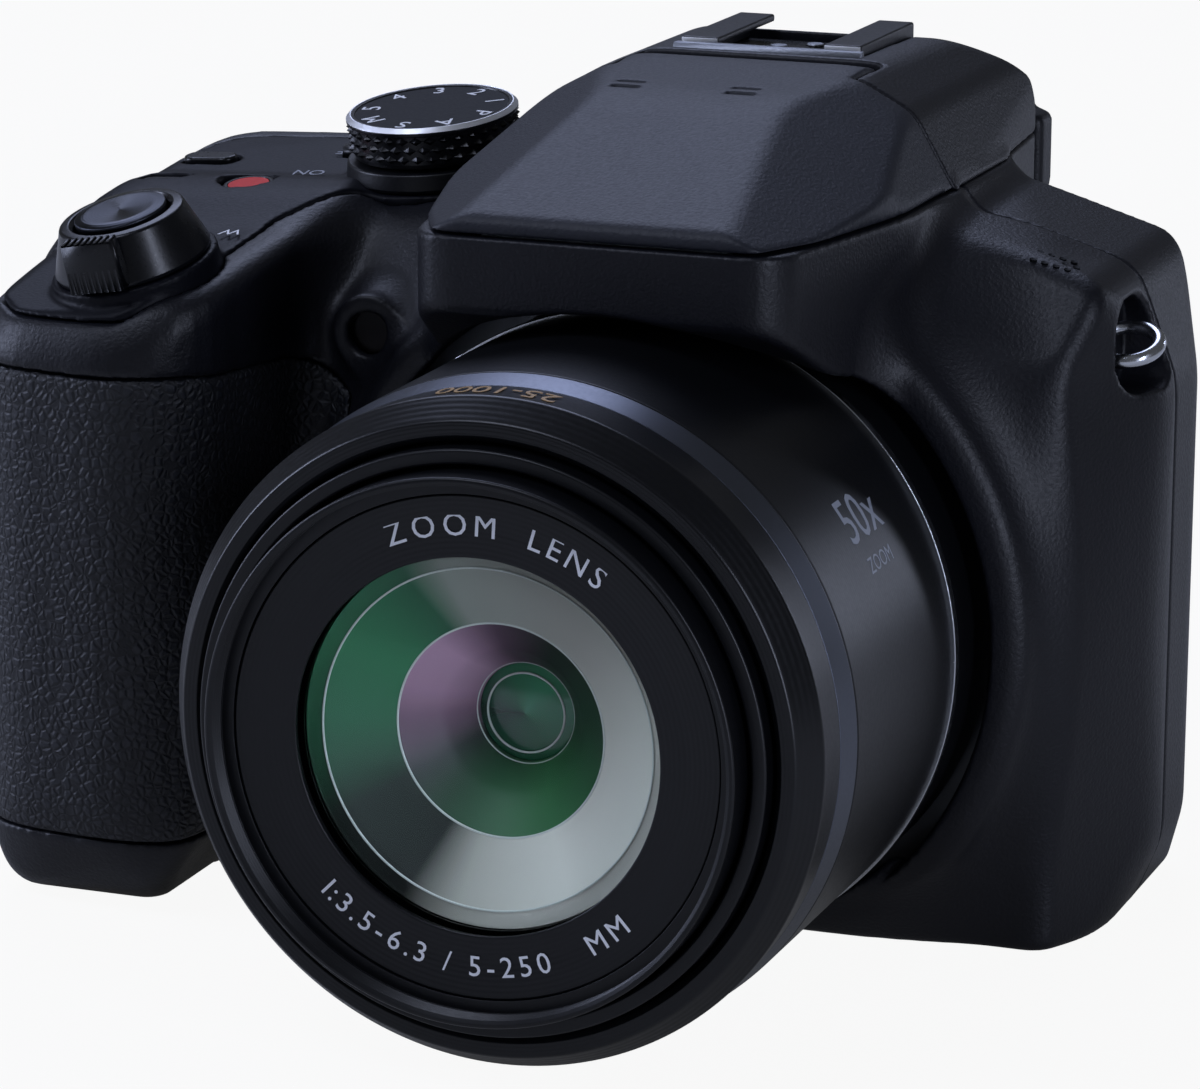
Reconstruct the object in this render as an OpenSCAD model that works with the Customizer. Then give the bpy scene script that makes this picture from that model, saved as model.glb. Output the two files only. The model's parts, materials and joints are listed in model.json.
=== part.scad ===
// Bridge camera: a moulded body with a hand grip, a finder hump with a lift-up flash,
// and a retracting zoom lens of two sliding stages.
// Origin: mouth of the tripod socket on the base. +Z is up, the lens looks along -Y, the grip is at -X.
// All sizes are in millimetres.

/* [Case] */
// Grip end of the case, from the lens axis
grip_reach = 79.5; // [78:0.5:83]
// Plain end of the case, from the lens axis
plain_reach = 50.7; // [50:0.1:54]
// Height of the deck under the mode dial
deck_z = 78; // [77:0.5:79]
// Lean of the deck towards the front, in degrees
deck_fall = 7.2; // [5:0.2:9]
// Lean of the deck towards the grip end, in degrees
deck_lean = 3; // [2:0.1:4]
// Front face of the case, forward of the tripod axis
case_front = 14; // [14:0.5:16]
// Back face of the case, behind the tripod axis
case_back = 26; // [25.5:0.5:29]
// Parting plane of the front and rear cases, behind the tripod axis
seam_y = 6; // [6:0.5:8]
// Wall of the moulded cases
wall = 2.2; // [1.8:0.1:2.4]

/* [Grip] */
// Front of the grip, forward of the tripod axis
grip_front = 42; // [41:0.5:46]
// Width of the grip
grip_w = 32; // [31:0.5:34]
// Height of the bare foot below the rubber
foot_h = 9; // [7:0.5:12]
// Height of the rubber skin
rubber_h = 53; // [45:1:55]
// Thickness of the rubber skin
rubber_t = 1.2; // [0.8:0.1:1.4]

/* [Hump] */
// Front of the hump over the lens, forward of the tripod axis
hump_front = 42; // [40:0.5:44]
// Half width of the hump
hump_half = 25.8; // [25.4:0.1:26.2]
// Half width of the hump at its front
nose_half = 20; // [18:0.5:22]
// Highest point of the hump
hump_top = 93.2; // [92.5:0.1:94]
// Back of the hump, behind the tripod axis
hump_back = 46; // [44:0.5:48]
// Underside of the hump over the lens
hump_under = 73.2; // [73:0.1:74]
// Height at which the flash lid and the hump cover sit on the cases
hump_split = 81; // [80.5:0.1:82]
// Lean of the facets beside the lid panel, in degrees
facet_lean = 26.2; // [24:0.2:28]
// Fall of the facets beside the lid panel towards the front, in degrees
facet_fall = 11.5; // [10:0.5:13]

/* [Flash] */
// Wall of the flash lid
lid_wall = 1.8; // [1.4:0.1:2]
// Hinge of the flash lid, behind the tripod axis
hinge_y = 8; // [7:0.5:9]
// Depth of the hinge below the top of the hump
hinge_drop = 4.6; // [4.4:0.1:5]
// Radius of the hinge pin
hinge_r = 1; // [0.8:0.1:1.1]
// Width of the flash window
flash_w = 28; // [20:1:30]

/* [Lens] */
// Height of the lens axis
lens_z = 35.8; // [35.5:0.1:36.5]
// Radius of the fixed barrel
barrel_r = 35.4; // [35:0.1:35.5]
// Radius of the front edge of the front ring
rim_r = 33; // [32.4:0.1:33.4]
// Radius of the opening in the case
opening_r = 37.6; // [37:0.1:37.7]
// Front of the case round the lens, forward of the tripod axis
shroud_front = 21; // [19:0.5:22]
// Outer radius of the inner zoom barrel
inner_barrel_r = 28.4; // [27.5:0.1:28.5]
// Radius of the opening in the name ring
glass_r = 19.5; // [18:0.1:20]
// Front edge of the front ring, forward of the tripod axis
rim_front = 72; // [70:0.5:74]
// Back of the front ring, forward of the tripod axis
rim_back = 59.5; // [57:0.5:61]
// How far the inner barrel stands forward of the front ring
inner_proud = 5; // [3.5:0.1:5.5]
// Radius of the filter thread in the inner barrel
filter_r = 27.5; // [26.8:0.1:27.6]

/* [Deck controls] */
// Radius of the mode dial
dial_r = 10; // [9:0.1:10.2]
// Height of the mode dial
dial_h = 4.8; // [4.2:0.1:5.4]
// Radius of the shutter button
shutter_r = 5.2; // [4.6:0.1:5.3]
// Radius of the zoom lever
zoom_r = 8.8; // [8.5:0.1:9]
// Radius of the movie button
movie_r = 3.2; // [2.8:0.1:3.5]
// Length of the focus and drive buttons
oval_l = 6.6; // [5.5:0.1:7]
// Width of the focus and drive buttons
oval_w = 3.2; // [2.8:0.1:3.4]

/* [Back controls] */
// Radius of the cursor pad
cursor_r = 9.5; // [8.5:0.1:10]
// Radius of the menu button in the cursor pad
menu_r = 4; // [3.5:0.1:4.5]
// Radius of the small back buttons
small_r = 2.7; // [2.2:0.1:3]
// Radius of the rear dial
wheel_r = 7.5; // [7:0.1:7.8]
// Width of the rear dial
wheel_w = 5; // [4:0.1:5.5]
// Radius of the diopter dial
diopter_r = 4; // [3.4:0.1:4.4]

/* [Screen and finder] */
// Width of the screen glass
screen_w = 70; // [66:0.5:71]
// Height of the screen glass
screen_h = 53; // [50:0.5:55]
// Middle of the screen, from the lens axis
screen_x = 11; // [9:0.5:12]
// Back of the eyecup, behind the tripod axis
eyecup_back = 51.2; // [50:0.1:52]
// Width of the eyepiece
eyepiece_w = 24; // [20:0.5:26]
// Height of the eyepiece
eyepiece_h = 14; // [12:0.5:15]

/* [Hot shoe] */
// Width between the rails
shoe_w = 18.6; // [18.5:0.05:18.7]
// Width of the opening between the lips
shoe_lip_w = 12.6; // [12.3:0.1:12.8]
// Height of the slot under the lips
shoe_slot_h = 2; // [1.9:0.05:2.1]
// Length of the rails
shoe_l = 20; // [18:0.5:21]
// Front of the rails, behind the tripod axis
shoe_front = 15; // [14.5:0.5:16]
// Overall height of the camera, at the top of the rails
shoe_top = 94.3; // [94:0.1:95]

/* [Doors] */
// Width of the battery door
door_w = 24; // [23:0.5:24.5]
// Length of the battery door
door_l = 37; // [36:0.5:37.5]
// Height of the terminal door
port_door_h = 26; // [24:0.5:28]
// Width of the terminal door
port_door_w = 14; // [12.5:0.5:14.5]

/* [Inside] */
// Radius of the tripod thread, a quarter inch across
tripod_r = 3.175; // [3.1:0.005:3.25]
// Depth of the tripod thread
tripod_depth = 5.5; // [5:0.1:6.5]
// Thickness of the battery
battery_t = 15; // [14:0.1:15.2]
// Width of the battery
battery_w = 32; // [30:0.5:33]
// Height of the battery
battery_h = 44; // [40:0.5:46]

/* [Hidden] */

$fn = 64;
// Reach of a cut or block that only has to pass the whole camera
far = 150;
// Free gap round a moving piece
gap = 0.3;
// Radial clearance of a shaft in its bore
run = 0.05;
// Travel of a push button
press = 0.8;
// Facets of a rounded corner
corner_steps = 4;

// Lens radii between the inner barrel and the fixed barrel
stage_gap = 0.4;
stage_wall = 1.6;
stage_fit = 0.5;
barrel_wall = 1.9;
inner_wall = 2.2;
inner_in = inner_barrel_r - inner_wall;
middle_r = inner_barrel_r + stage_fit + stage_wall;
cam_in = middle_r + stage_gap;
cam_r = barrel_r - barrel_wall - stage_gap;

// Ridge line of the facets beside the lid panel
facet_top = hump_top + 6.7;

// Outlines: each point is a place and the radius of its corner, anticlockwise
case_plan = [
    [-grip_reach, -case_front, 5], [plain_reach - 8.7, -case_front, 4], [plain_reach, 3, 7],
    [plain_reach, case_back - 11, 9], [plain_reach - 5, case_back, 5], [10 - grip_reach, case_back, 8],
    [-grip_reach, case_back - 17, 14]
];
case_outline = [
    [6 - grip_reach, 0, 6], [plain_reach - 4, 0, 4], [plain_reach, 10, 8], [plain_reach, deck_z - 18, 10],
    [plain_reach - 5.2, deck_z - 4.5, 6], [hump_half, deck_z + 1.5, 8], [-hump_half, deck_z + 4, 8],
    [7 - grip_reach, deck_z + 1, 5], [-grip_reach, deck_z - 17, 12], [-grip_reach, 13, 10]
];
case_profile = [
    [-case_front, 0, 3], [case_back, 0, 3], [case_back, deck_z + 2.5, 3], [9 - case_front, deck_z - 1.4, 5],
    [-case_front, deck_z - 14, 10]
];
grip_plan = [
    [-grip_reach, -10, 24], [4.2 - grip_reach, 5 - grip_front, 13], [grip_w - 2 - grip_reach, -grip_front, 11],
    [grip_w + 4 - grip_reach, 0, 1], [-grip_reach, 0, 1]
];
grip_profile = [
    [9.5 - grip_front, 0, 5], [8, 0, 1], [8, deck_z + 8, 1], [8 - grip_front, deck_z + 8, 1],
    [4 - grip_front, deck_z - 8, 4], [-grip_front - 0.3, deck_z - 17, 8], [-grip_front, 13, 9]
];
grip_outline = [
    [6 - grip_reach, 0, 6], [grip_w - 7.5 - grip_reach, 0, 5], [grip_w + 2 - grip_reach, 15, 12],
    [grip_w + 6 - grip_reach, 90, 1], [14 - grip_reach, 90, 1], [-grip_reach, deck_z - 16, 12],
    [-grip_reach, 13, 10]
];
hump_plan = [
    [-nose_half, -hump_front, 6], [nose_half, -hump_front, 6], [hump_half, -12, 14], [hump_half, 14, 10],
    [hump_half - 3, hump_back, 5], [3 - hump_half, hump_back, 5], [-hump_half, 14, 10], [-hump_half, -12, 14]
];
hump_outline = [
    [-hump_half, 60, 1], [hump_half, 60, 1], [hump_half, hump_top - 12.5, 7], [hump_half - 5, hump_top - 4, 6],
    [12.5, hump_top + 0.6, 9], [-12.5, hump_top + 0.6, 9], [5 - hump_half, hump_top - 4, 6],
    [-hump_half, hump_top - 12.5, 7]
];
hump_profile = [
    [-hump_front, hump_under, 1.5], [-shroud_front, 62, 4], [hump_back, 60, 1],
    [hump_back, hump_top - 7, 6], [36, hump_top - 0.6, 14], [6, hump_top, 40], [-12, hump_top - 1.4, 50],
    [-hump_front, hump_top - 10.4, 2.5]
];
deck_plan = [
    [-30, -1, 2], [-30, 21, 2], [11 - grip_reach, 22, 6], [4.5 - grip_reach, 10, 9],
    [4.5 - grip_reach, 12 - grip_front, 10], [12 - grip_reach, 3 - grip_front, 6],
    [27 - grip_reach, 4 - grip_front, 7], [30 - grip_reach, -12, 5], [-43, -3, 4]
];

// Places of the deck controls, X and Y, and of the cursor pad, X and Z
dial_at = [-37.5, 7.5];
shutter_at = [20.5 - grip_reach, 14 - grip_front];
movie_at = [21.8 - grip_reach, -0.5];
focus_at = [10.5 - grip_reach, 1];
drive_at = [11.5 - grip_reach, 11.3];
cursor_at = [30.5 - grip_reach, 27];
// Teeth round the whole cam ring and on the drive pinion
cam_teeth = 65;
pinion_teeth = 10;

// Derived places
hinge_z = hump_top - hinge_drop;
lid_r = hinge_drop - 0.1;
jog_y = hinge_y - 6;
socket_r = 4.8;
lens_room = 0.8;
thread_l = 2.5;
shoe_wall = 1.4;
shoe_lip_t = 0.9;
shoe_floor = shoe_top - shoe_lip_t - shoe_slot_h;
shoe_half = shoe_w / 2 + shoe_wall;
shoe_plate_t = 1;
cover_slab_t = 2;
eye_z = 79.5;
screen_z = 36;
barrel_in = cam_r + stage_gap;
inner_front = rim_front + inner_proud;
door_x = 8 - grip_reach;
door_y = 18 - grip_front;
door_step = [door_x + 16, 2 - case_front];
door_t = wall - 0.2;
port_y = -9.5;
port_z = 24;
board_y = 12;
board_t = 1.6;
board_x = [-30, 44];
board_z = [8, 60];
gear_w = 3.5;
gear_y = wall - case_front + 0.3;
plate_y = gear_y + gear_w + 0.5;
plate_t = 2.3;
cam_module = 2 * (cam_r - 0.6) / cam_teeth;
cam_pitch_r = cam_teeth * cam_module / 2;
pinion_pitch_r = pinion_teeth * cam_module / 2;
gear_distance = cam_pitch_r + pinion_pitch_r;
gear_angle = 155;
pinion_at = [gear_distance * cos(gear_angle), lens_z + gear_distance * sin(gear_angle)];
lamp_at = [-36, 64];
eyelet_ring = 3.6;
eyelet_wire = 0.8;
eyelet_at = [plain_reach - eyelet_ring - eyelet_wire - 0.2, 0, 66];
eyelet_far = [eyelet_ring + eyelet_wire + 0.2 - grip_reach, -3, 60];
screw_places = [[20, -10], [37, -10], [-24, -10], [37, 19], [39.5 - grip_reach, 19], [13.5 - grip_reach, 16]];
play_at = [screen_x - screen_w / 2 - 10, 47];
display_at = [screen_x - screen_w / 2 - 10, 9];
delete_at = [15.5 - grip_reach, 9];
finder_button_at = [-33, 66];
flash_button_at = [35, 70];
wheel_at = [21.5 - grip_reach, case_back - 6];
wheel_z = 62;

function unit(v) = v / norm(v);

// Points of one corner with its radius
function corner(a, b, c) =
    let(p = [b.x, b.y], u = unit([a.x, a.y] - p), v = unit([c.x, c.y] - p), half = acos(u * v) / 2)
    let(m = p + unit(u + v) * (b.z / sin(half)))
    let(s = p + u * (b.z / tan(half)) - m, e = p + v * (b.z / tan(half)) - m)
    let(start = atan2(s.y, s.x), sweep = atan2(e.y, e.x) - start)
    let(turn = sweep > 180 ? sweep - 360 : sweep < -180 ? sweep + 360 : sweep)
    [for (i = [0:corner_steps]) let(a = start + turn * i / corner_steps) m + b.z * [cos(a), sin(a)]];

function rounded(p) =
    [for (i = [0:len(p) - 1]) each corner(p[(i + len(p) - 1) % len(p)], p[i], p[(i + 1) % len(p)])];

// One corner moved inwards by d on both of its edges
function moved(a, b, c, d) =
    let(u = unit([b.x - a.x, b.y - a.y]), v = unit([c.x - b.x, c.y - b.y]))
    let(n = [-u.y, u.x], m = [-v.y, v.x], turn = u.x * v.y - u.y * v.x)
    let(q = [b.x, b.y] + d * (n + m) / (1 + n * m))
    [q.x, q.y, turn > 0 ? max(b.z - d, 0.3) : b.z + d];

function inset(p, d) =
    [for (i = [0:len(p) - 1]) moved(p[(i + len(p) - 1) % len(p)], p[i], p[(i + 1) % len(p)], d)];

// Height of the leaning deck plane
function deck_at(at) =
    deck_z + tan(deck_lean) * (at.x - dial_at.x) + tan(deck_fall) * (at.y - dial_at.y);

// Extrusions of an outline seen from above, from the front and from the side
module plan_solid(p, z0, z1) translate([0, 0, z0]) linear_extrude(z1 - z0) polygon(rounded(p));
module front_solid(p, y0, y1)
    translate([0, y1, 0]) rotate([90, 0, 0]) linear_extrude(y1 - y0) polygon(rounded(p));
module side_solid(p, x0, x1)
    translate([x0, 0, 0]) rotate([90, 0, 90]) linear_extrude(x1 - x0) polygon(rounded(p));

// A box given by its two corners
module block(a, b) translate(a) cube(b - a);

module rod_x(r, x0, x1, y, z) translate([x0, y, z]) rotate([0, 90, 0]) cylinder(r = r, h = x1 - x0);
module rod_y(r, y0, y1, x, z) translate([x, y1, z]) rotate([90, 0, 0]) cylinder(r = r, h = y1 - y0);
module rod_z(r, z0, z1, x, y) translate([x, y, z0]) cylinder(r = r, h = z1 - z0);

// A turned lens piece: profile points are radius and distance forward of the tripod axis
module turned(profile)
    translate([0, 0, lens_z]) rotate([90, 0, 0]) rotate_extrude($fn = 96) polygon(profile);

module lens_tube(r_out, r_in, front, back)
    turned([[r_in, back], [r_out, back], [r_out, front], [r_in, front]]);

// Stands a piece on the deck, leaning with it
module on_deck(at, rise = 0, fall = deck_fall, lean = deck_lean)
    translate([at.x, at.y, deck_at(at) + rise]) rotate([fall, -lean, 0]) children();

module on_dial() on_deck(dial_at) children();
shutter_fall = 14;
shutter_lean = 9;
module on_shutter() on_deck(shutter_at, 0, shutter_fall, shutter_lean) children();

// Bodies of the case, all moved inwards by d
module deck_limit(d)
    translate([dial_at.x, dial_at.y, deck_z - d]) rotate([deck_fall, -deck_lean, 0])
        block([-far, -far, 0], [dial_at.x + hump_half + 20, far, far]);

module main_body(d) difference() {
    intersection() {
        plan_solid(inset(case_plan, d), -1, far);
        front_solid(inset(case_outline, d), -far, far);
        side_solid(inset(case_profile, d), -far, far);
    }
    intersection() {
        deck_limit(d);
        block([-far, -far, 0], [d - hump_half, far, far]);
    }
}

grip_fall = 16.4;
grip_lean = 9.5;
module grip_body(d) difference() {
    intersection() {
        plan_solid(inset(grip_plan, d), -1, far);
        side_solid(inset(grip_profile, d), -far, far);
        front_solid(inset(grip_outline, d), -far, far);
        front_solid(inset(case_outline, d), -far, far);
    }
    deck_limit(d);
    on_deck(shutter_at, -d, grip_fall, grip_lean) block([-far, -far, 0], [far, far, far]);
}

module hump_body(d) difference() {
    intersection() {
        plan_solid(inset(hump_plan, d), 0, far);
        side_solid(inset(hump_profile, d), -far, far);
        front_solid(inset(hump_outline, d), -far, far);
    }
    rod_y(opening_r + d, -far, wall - shroud_front, 0, lens_z);
    for (s = [-1, 1]) translate([0, 0, facet_top]) rotate([facet_fall, s * facet_lean, 0])
        block([-far, -far, -d], [far, far, far]);
}

shroud_r = opening_r + 6.4;
shroud_taper = 3;
module shroud_body(d) intersection() {
    turned([
        [0, 8], [shroud_r - d, 8], [shroud_r - d, case_front - d],
        [shroud_r - shroud_taper - d, shroud_front - d], [0, shroud_front - d]
    ]);
    front_solid(inset(case_outline, d), -far, far);
    side_solid(inset([[-case_front, 0, 0.5], [0, 0, 0.5], [0, 90, 0.5], [-far, 90, 0.5], [-far, 60, 0.5],
        [-shroud_front, 12, 2]], d), -far, far);
}

module case_body(d) {
    main_body(d);
    grip_body(d);
    hump_body(d);
    shroud_body(d);
}

module case_shell() difference() {
    case_body(0);
    case_body(wall);
}

deck_depth = 3.5;
module deck_prism() intersection() {
    plan_solid(deck_plan, 60, far);
    deck_limit(deck_depth);
}

// Room for the collars of the two round controls
module collar_room() {
    on_dial() translate([0, 0, -collar_drop - 0.1]) cylinder(r = dial_collar_r + 0.1, h = far);
    on_shutter() translate([0, 0, -collar_drop - 0.1]) cylinder(r = zoom_r + 0.7, h = far);
}

// Skin of the grip that the rubber fills
rubber_edge = 36;
module rubber_zone()
    block([-far, -far, foot_h], [-rubber_edge, -case_front - 3, foot_h + rubber_h]);

module grip_skin() difference() {
    intersection() {
        grip_body(0);
        rubber_zone();
    }
    grip_body(rubber_t);
    main_body(0);
}

// Push buttons in the back wall
back_buttons = [play_at, display_at, delete_at, finder_button_at, flash_button_at];
button_proud = 1;
button_root = 4;
module back_button(at, r) rod_y(r, case_back - button_root, case_back + button_proud, at.x, at.y);
module back_hole(at, r) rod_y(r + gap, case_back - 2 * button_root, case_back + 2, at.x, at.y);

module oval(l, w, z0, z1) {
    for (s = [-1, 1]) translate([s * (l - w) / 2, 0, z0]) cylinder(d = w, h = z1 - z0);
    block([-(l - w) / 2, -w / 2, z0], [(l - w) / 2, w / 2, z1]);
}

// Pocket round an eyelet, open at the end of the case, and the boss behind it
pocket_in = 1.8;
module strap_pocket(at, s) {
    translate(at) mirror([s > 0 ? 0 : 1, 0, 0]) block([-pocket_in, -5.4, -4.5], [far, 5.4, 4.5]);
    translate(at) rotate([20, 0, 0]) eyelet();
}

module strap_boss(at, s) intersection() {
    translate(at) mirror([s > 0 ? 0 : 1, 0, 0]) block([-7, -8, -7], [9, 8, 7]);
    union() {
        main_body(0.01);
        grip_body(0.01);
    }
}

module battery_opening(g) {
    block([door_x - g, door_y - g, -1], [door_step.x + g, door_y + door_l + g, wall + 1]);
    block([door_step.x, door_step.y - g, -1], [door_x + door_w + g, door_y + door_l + g, wall + 1]);
}

module terminal_opening(g)
    block([-grip_reach - 1, port_y - g, port_z - g],
        [wall + 1 - grip_reach, port_y + port_door_w + g, port_z + port_door_h + g]);

screw_r = 0.95;
screw_head_r = 1.7;
screw_head_h = 0.9;
module screw_holes() for (p = screw_places) {
    rod_z(screw_r + run, -1, wall + 3, p.x, p.y);
    rod_z(screw_head_r + 0.1, -1, screw_head_h + 0.1, p.x, p.y);
}

module front_case() color("#17181c") difference() {
    union() {
        intersection() {
            case_shell();
            block([-far, -far, -1], [far, seam_y, hump_split]);
        }
        rod_y(4.4, -case_front - 3, 1 - case_front, lamp_at.x, lamp_at.y);
        intersection() {
            lens_tube(opening_r + 1.2, barrel_r, shroud_front - wall + 0.1, shroud_front - wall - 2);
            front_solid(case_outline, -far, far);
        }
        intersection() {
            strap_boss(eyelet_at, 1);
            block([-far, -far, -1], [far, seam_y, hump_split]);
        }
        intersection() {
            strap_boss(eyelet_far, -1);
            block([-far, -far, -1], [far, seam_y, hump_split]);
        }
    }
    rod_y(opening_r, -far, wall - shroud_front, 0, lens_z);
    rod_y(barrel_r + lens_room, -far, plate_y, 0, lens_z);
    deck_prism();
    collar_room();
    grip_skin();
    rod_y(2.4, -far, 0, lamp_at.x, lamp_at.y);
    battery_opening(gap);
    terminal_opening(gap);
    strap_pocket(eyelet_at, 1);
    strap_pocket(eyelet_far, -1);
    screw_holes();
    rod_z(socket_r, -1, tripod_depth + 2, 0, 0);
}

module finder_hole(g) front_solid([
    [-eyepiece_w / 2 - g, eye_z - eyepiece_h / 2 - g, 2], [eyepiece_w / 2 + g, eye_z - eyepiece_h / 2 - g, 2],
    [eyepiece_w / 2 + g, eye_z + eyepiece_h / 2 + g, 2], [-eyepiece_w / 2 - g, eye_z + eyepiece_h / 2 + g, 2]
], 30, far);

module screen_outline(g, y0, y1) front_solid([
    [screen_x - screen_w / 2 - g, screen_z - screen_h / 2 - g, 2],
    [screen_x + screen_w / 2 + g, screen_z - screen_h / 2 - g, 2],
    [screen_x + screen_w / 2 + g, screen_z + screen_h / 2 + g, 2],
    [screen_x - screen_w / 2 - g, screen_z + screen_h / 2 + g, 2]
], y0, y1);

module rear_case() color("#15161a") difference() {
    union() {
        intersection() {
            case_shell();
            block([-far, seam_y, -1], [far, far, hump_split]);
        }
        intersection() {
            strap_boss(eyelet_at, 1);
            block([-far, seam_y, -1], [far, far, hump_split]);
        }
        intersection() {
            strap_boss(eyelet_far, -1);
            block([-far, seam_y, -1], [far, far, hump_split]);
        }
    }
    deck_prism();
    collar_room();
    battery_opening(gap);
    strap_pocket(eyelet_at, 1);
    strap_pocket(eyelet_far, -1);
    screen_outline(0.2, case_back - wall - 3, far);
    finder_hole(0.2);
    back_hole(cursor_at, cursor_r);
    for (p = back_buttons) back_hole(p, small_r);
    block([wheel_at.x - wheel_r - gap, case_back - wall - 4, wheel_z - gap],
        [wheel_at.x + wheel_r + gap, far, wheel_z + wheel_w + gap]);
    rod_x(diopter_r + gap, -far, -15, 37, 76);
    screw_holes();
}

// Space that the flash lid takes on the hump, grown by g
module lid_zone(g) {
    block([-far, -far, hump_split + gap - g], [far, jog_y + g, far]);
    block([-far, 0, hinge_z - 1 - g], [far, hinge_y, far]);
    rod_x(lid_r + g, -far, far, hinge_y, hinge_z);
}

ear_x = 9;
ear_w = 2;
module hump_cover() color("#1a1b20") {
    difference() {
        union() {
            intersection() {
                difference() {
                    hump_body(0);
                    hump_body(lid_wall);
                }
                block([-far, jog_y, hump_split], [far, far, far]);
            }
            block([-shoe_half - 2, shoe_front - 2, shoe_floor - cover_slab_t],
                [shoe_half + 2, shoe_front + shoe_l + 2, shoe_floor + 0.5]);
        }
        lid_zone(gap);
        block([-far, hinge_y - 1, hinge_z + 2.5], [far, hinge_y + lid_r - 0.6, far]);
        block([-shoe_half - 0.1, shoe_front - 0.1, shoe_floor - shoe_plate_t],
            [shoe_half + 0.1, shoe_front + shoe_l + 0.1, far]);
        finder_hole(0.2);
    }
    // Lugs that carry the hinge pin
    for (s = [-1, 1]) difference() {
        union() {
            rod_x(2.1, s > 0 ? ear_x + ear_w + gap : -ear_x - 2 * ear_w - gap,
                s > 0 ? ear_x + 2 * ear_w + gap : -ear_x - ear_w - gap, hinge_y, hinge_z);
            block([s > 0 ? ear_x + ear_w + gap : -ear_x - 2 * ear_w - gap, hinge_y, hinge_z - 2.1],
                [s > 0 ? ear_x + 2 * ear_w + gap : -ear_x - ear_w - gap, hinge_y + lid_r + 1, hinge_z - 1.2]);
            block([s > 0 ? shoe_half - 1 : -ear_x - 2 * ear_w - gap, hinge_y + lid_r + 0.5, hinge_z - 2.1],
                [s > 0 ? ear_x + 2 * ear_w + gap : 1 - shoe_half, shoe_front + 4, shoe_floor - 1.2]);
        }
        rod_x(hinge_r, -far, far, hinge_y, hinge_z);
    }
}

module flash_lid() color("#2a2b31") difference() {
    union() {
        intersection() {
            difference() {
                hump_body(0);
                hump_body(lid_wall);
            }
            lid_zone(0);
        }
        // Ears on the hinge pin
        for (s = [-1, 1]) intersection() {
            hump_body(lid_wall / 2);
            union() {
                rod_x(2.1, s > 0 ? ear_x : -ear_x - ear_w, s > 0 ? ear_x + ear_w : -ear_x, hinge_y, hinge_z);
                block([s > 0 ? ear_x : -ear_x - ear_w, hinge_y - 5, hinge_z],
                    [s > 0 ? ear_x + ear_w : -ear_x, hinge_y, far]);
            }
        }
    }
    rod_x(hinge_r + run, -far, far, hinge_y, hinge_z);
}

module flash_hinge_pin() color("#b9bcc2")
    rod_x(hinge_r, -ear_x - 2 * ear_w - gap, ear_x + 2 * ear_w + gap, hinge_y, hinge_z);

head_front = hump_front - 5;
head_back = hump_front - 14;
head_z = lens_z + opening_r + wall + 1;
module flash_head() color("#24252a") intersection() {
    hump_body(lid_wall);
    block([-flash_w / 2 - 1, -head_front, head_z], [flash_w / 2 + 1, -head_back, far]);
}

module flash_window() color("#d9dde2")
    block([-flash_w / 2, -head_front - 0.6, head_z + 0.5], [flash_w / 2, -head_front, hump_split]);

module hot_shoe_rails() color("#3a3b40") for (s = [0, 1]) mirror([s, 0, 0])
    translate([0, shoe_front + shoe_l, 0]) rotate([90, 0, 0]) linear_extrude(shoe_l) polygon([
        [shoe_w / 2, shoe_floor], [shoe_half, shoe_floor], [shoe_half, shoe_top], [shoe_lip_w / 2, shoe_top],
        [shoe_lip_w / 2, shoe_top - shoe_lip_t], [shoe_w / 2, shoe_top - shoe_lip_t]
    ]);

contact_places = [[0, 9], [-3.6, 13.5], [3.6, 13.5], [0, 16]];
module hot_shoe_plate() color("#2c2d31") {
    block([-shoe_half, shoe_front, shoe_floor - shoe_plate_t], [shoe_half, shoe_front + shoe_l, shoe_floor]);
    for (p = contact_places) rod_z(1.1, shoe_floor - 0.5, shoe_floor + 0.25, p.x, shoe_front + p.y);
}

// Deck panel with the collars that its controls stand on
lever_h = 2.2;
boss_r = 5;
shaft_r = 3;
zoom_boss_r = 6.2;
zoom_boss_h = 3.2;
shutter_stem_r = 2;
collar_drop = 4;
dial_collar_r = dial_r + 0.9;
module top_panel() color("#1b1c21") difference() {
    union() {
        intersection() {
            case_shell();
            deck_prism();
        }
        on_dial() {
            translate([0, 0, -collar_drop]) cylinder(r = dial_collar_r, h = collar_drop + 0.3);
            cylinder(r = boss_r, h = 0.3 + gap + lever_h);
        }
        on_shutter() {
            translate([0, 0, -collar_drop]) cylinder(r = zoom_r + 0.6, h = collar_drop + 0.3);
            cylinder(r = zoom_boss_r, h = 0.3 + zoom_boss_h);
        }
    }
    on_dial() translate([0, 0, -far]) cylinder(r = shaft_r + run, h = 2 * far);
    on_shutter() translate([0, 0, -far]) cylinder(r = shutter_stem_r + run, h = 2 * far);
    on_deck(movie_at) {
        translate([0, 0, -far]) cylinder(r = movie_r + gap, h = 2 * far);
        translate([0, 0, -0.6]) cylinder(r = movie_r + 1, h = far);
    }
    for (p = [focus_at, drive_at]) on_deck(p) oval(oval_l + 2 * gap, oval_w + 2 * gap, -far, far);
}

module grip_rubber() color("#1d1e22") grip_skin();

module thumb_rest() color("#1d1e22") front_solid([
    [10 - grip_reach, 41, 3], [26.5 - grip_reach, 41, 3], [28.5 - grip_reach, 50, 3], [26.5 - grip_reach, 58, 3],
    [10 - grip_reach, 58, 3]
], case_back, case_back + 2.6);

module power_lever() color("#1f2025") on_dial() translate([0, 0, 0.3 + gap / 2]) {
    difference() {
        cylinder(r = dial_r + 0.5, h = lever_h);
        translate([0, 0, -1]) cylinder(r = boss_r + run, h = lever_h + 2);
    }
    rotate([0, 0, 170]) block([dial_r, -1.6, 0], [dial_r + 3.2, 1.6, lever_h]);
}

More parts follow.
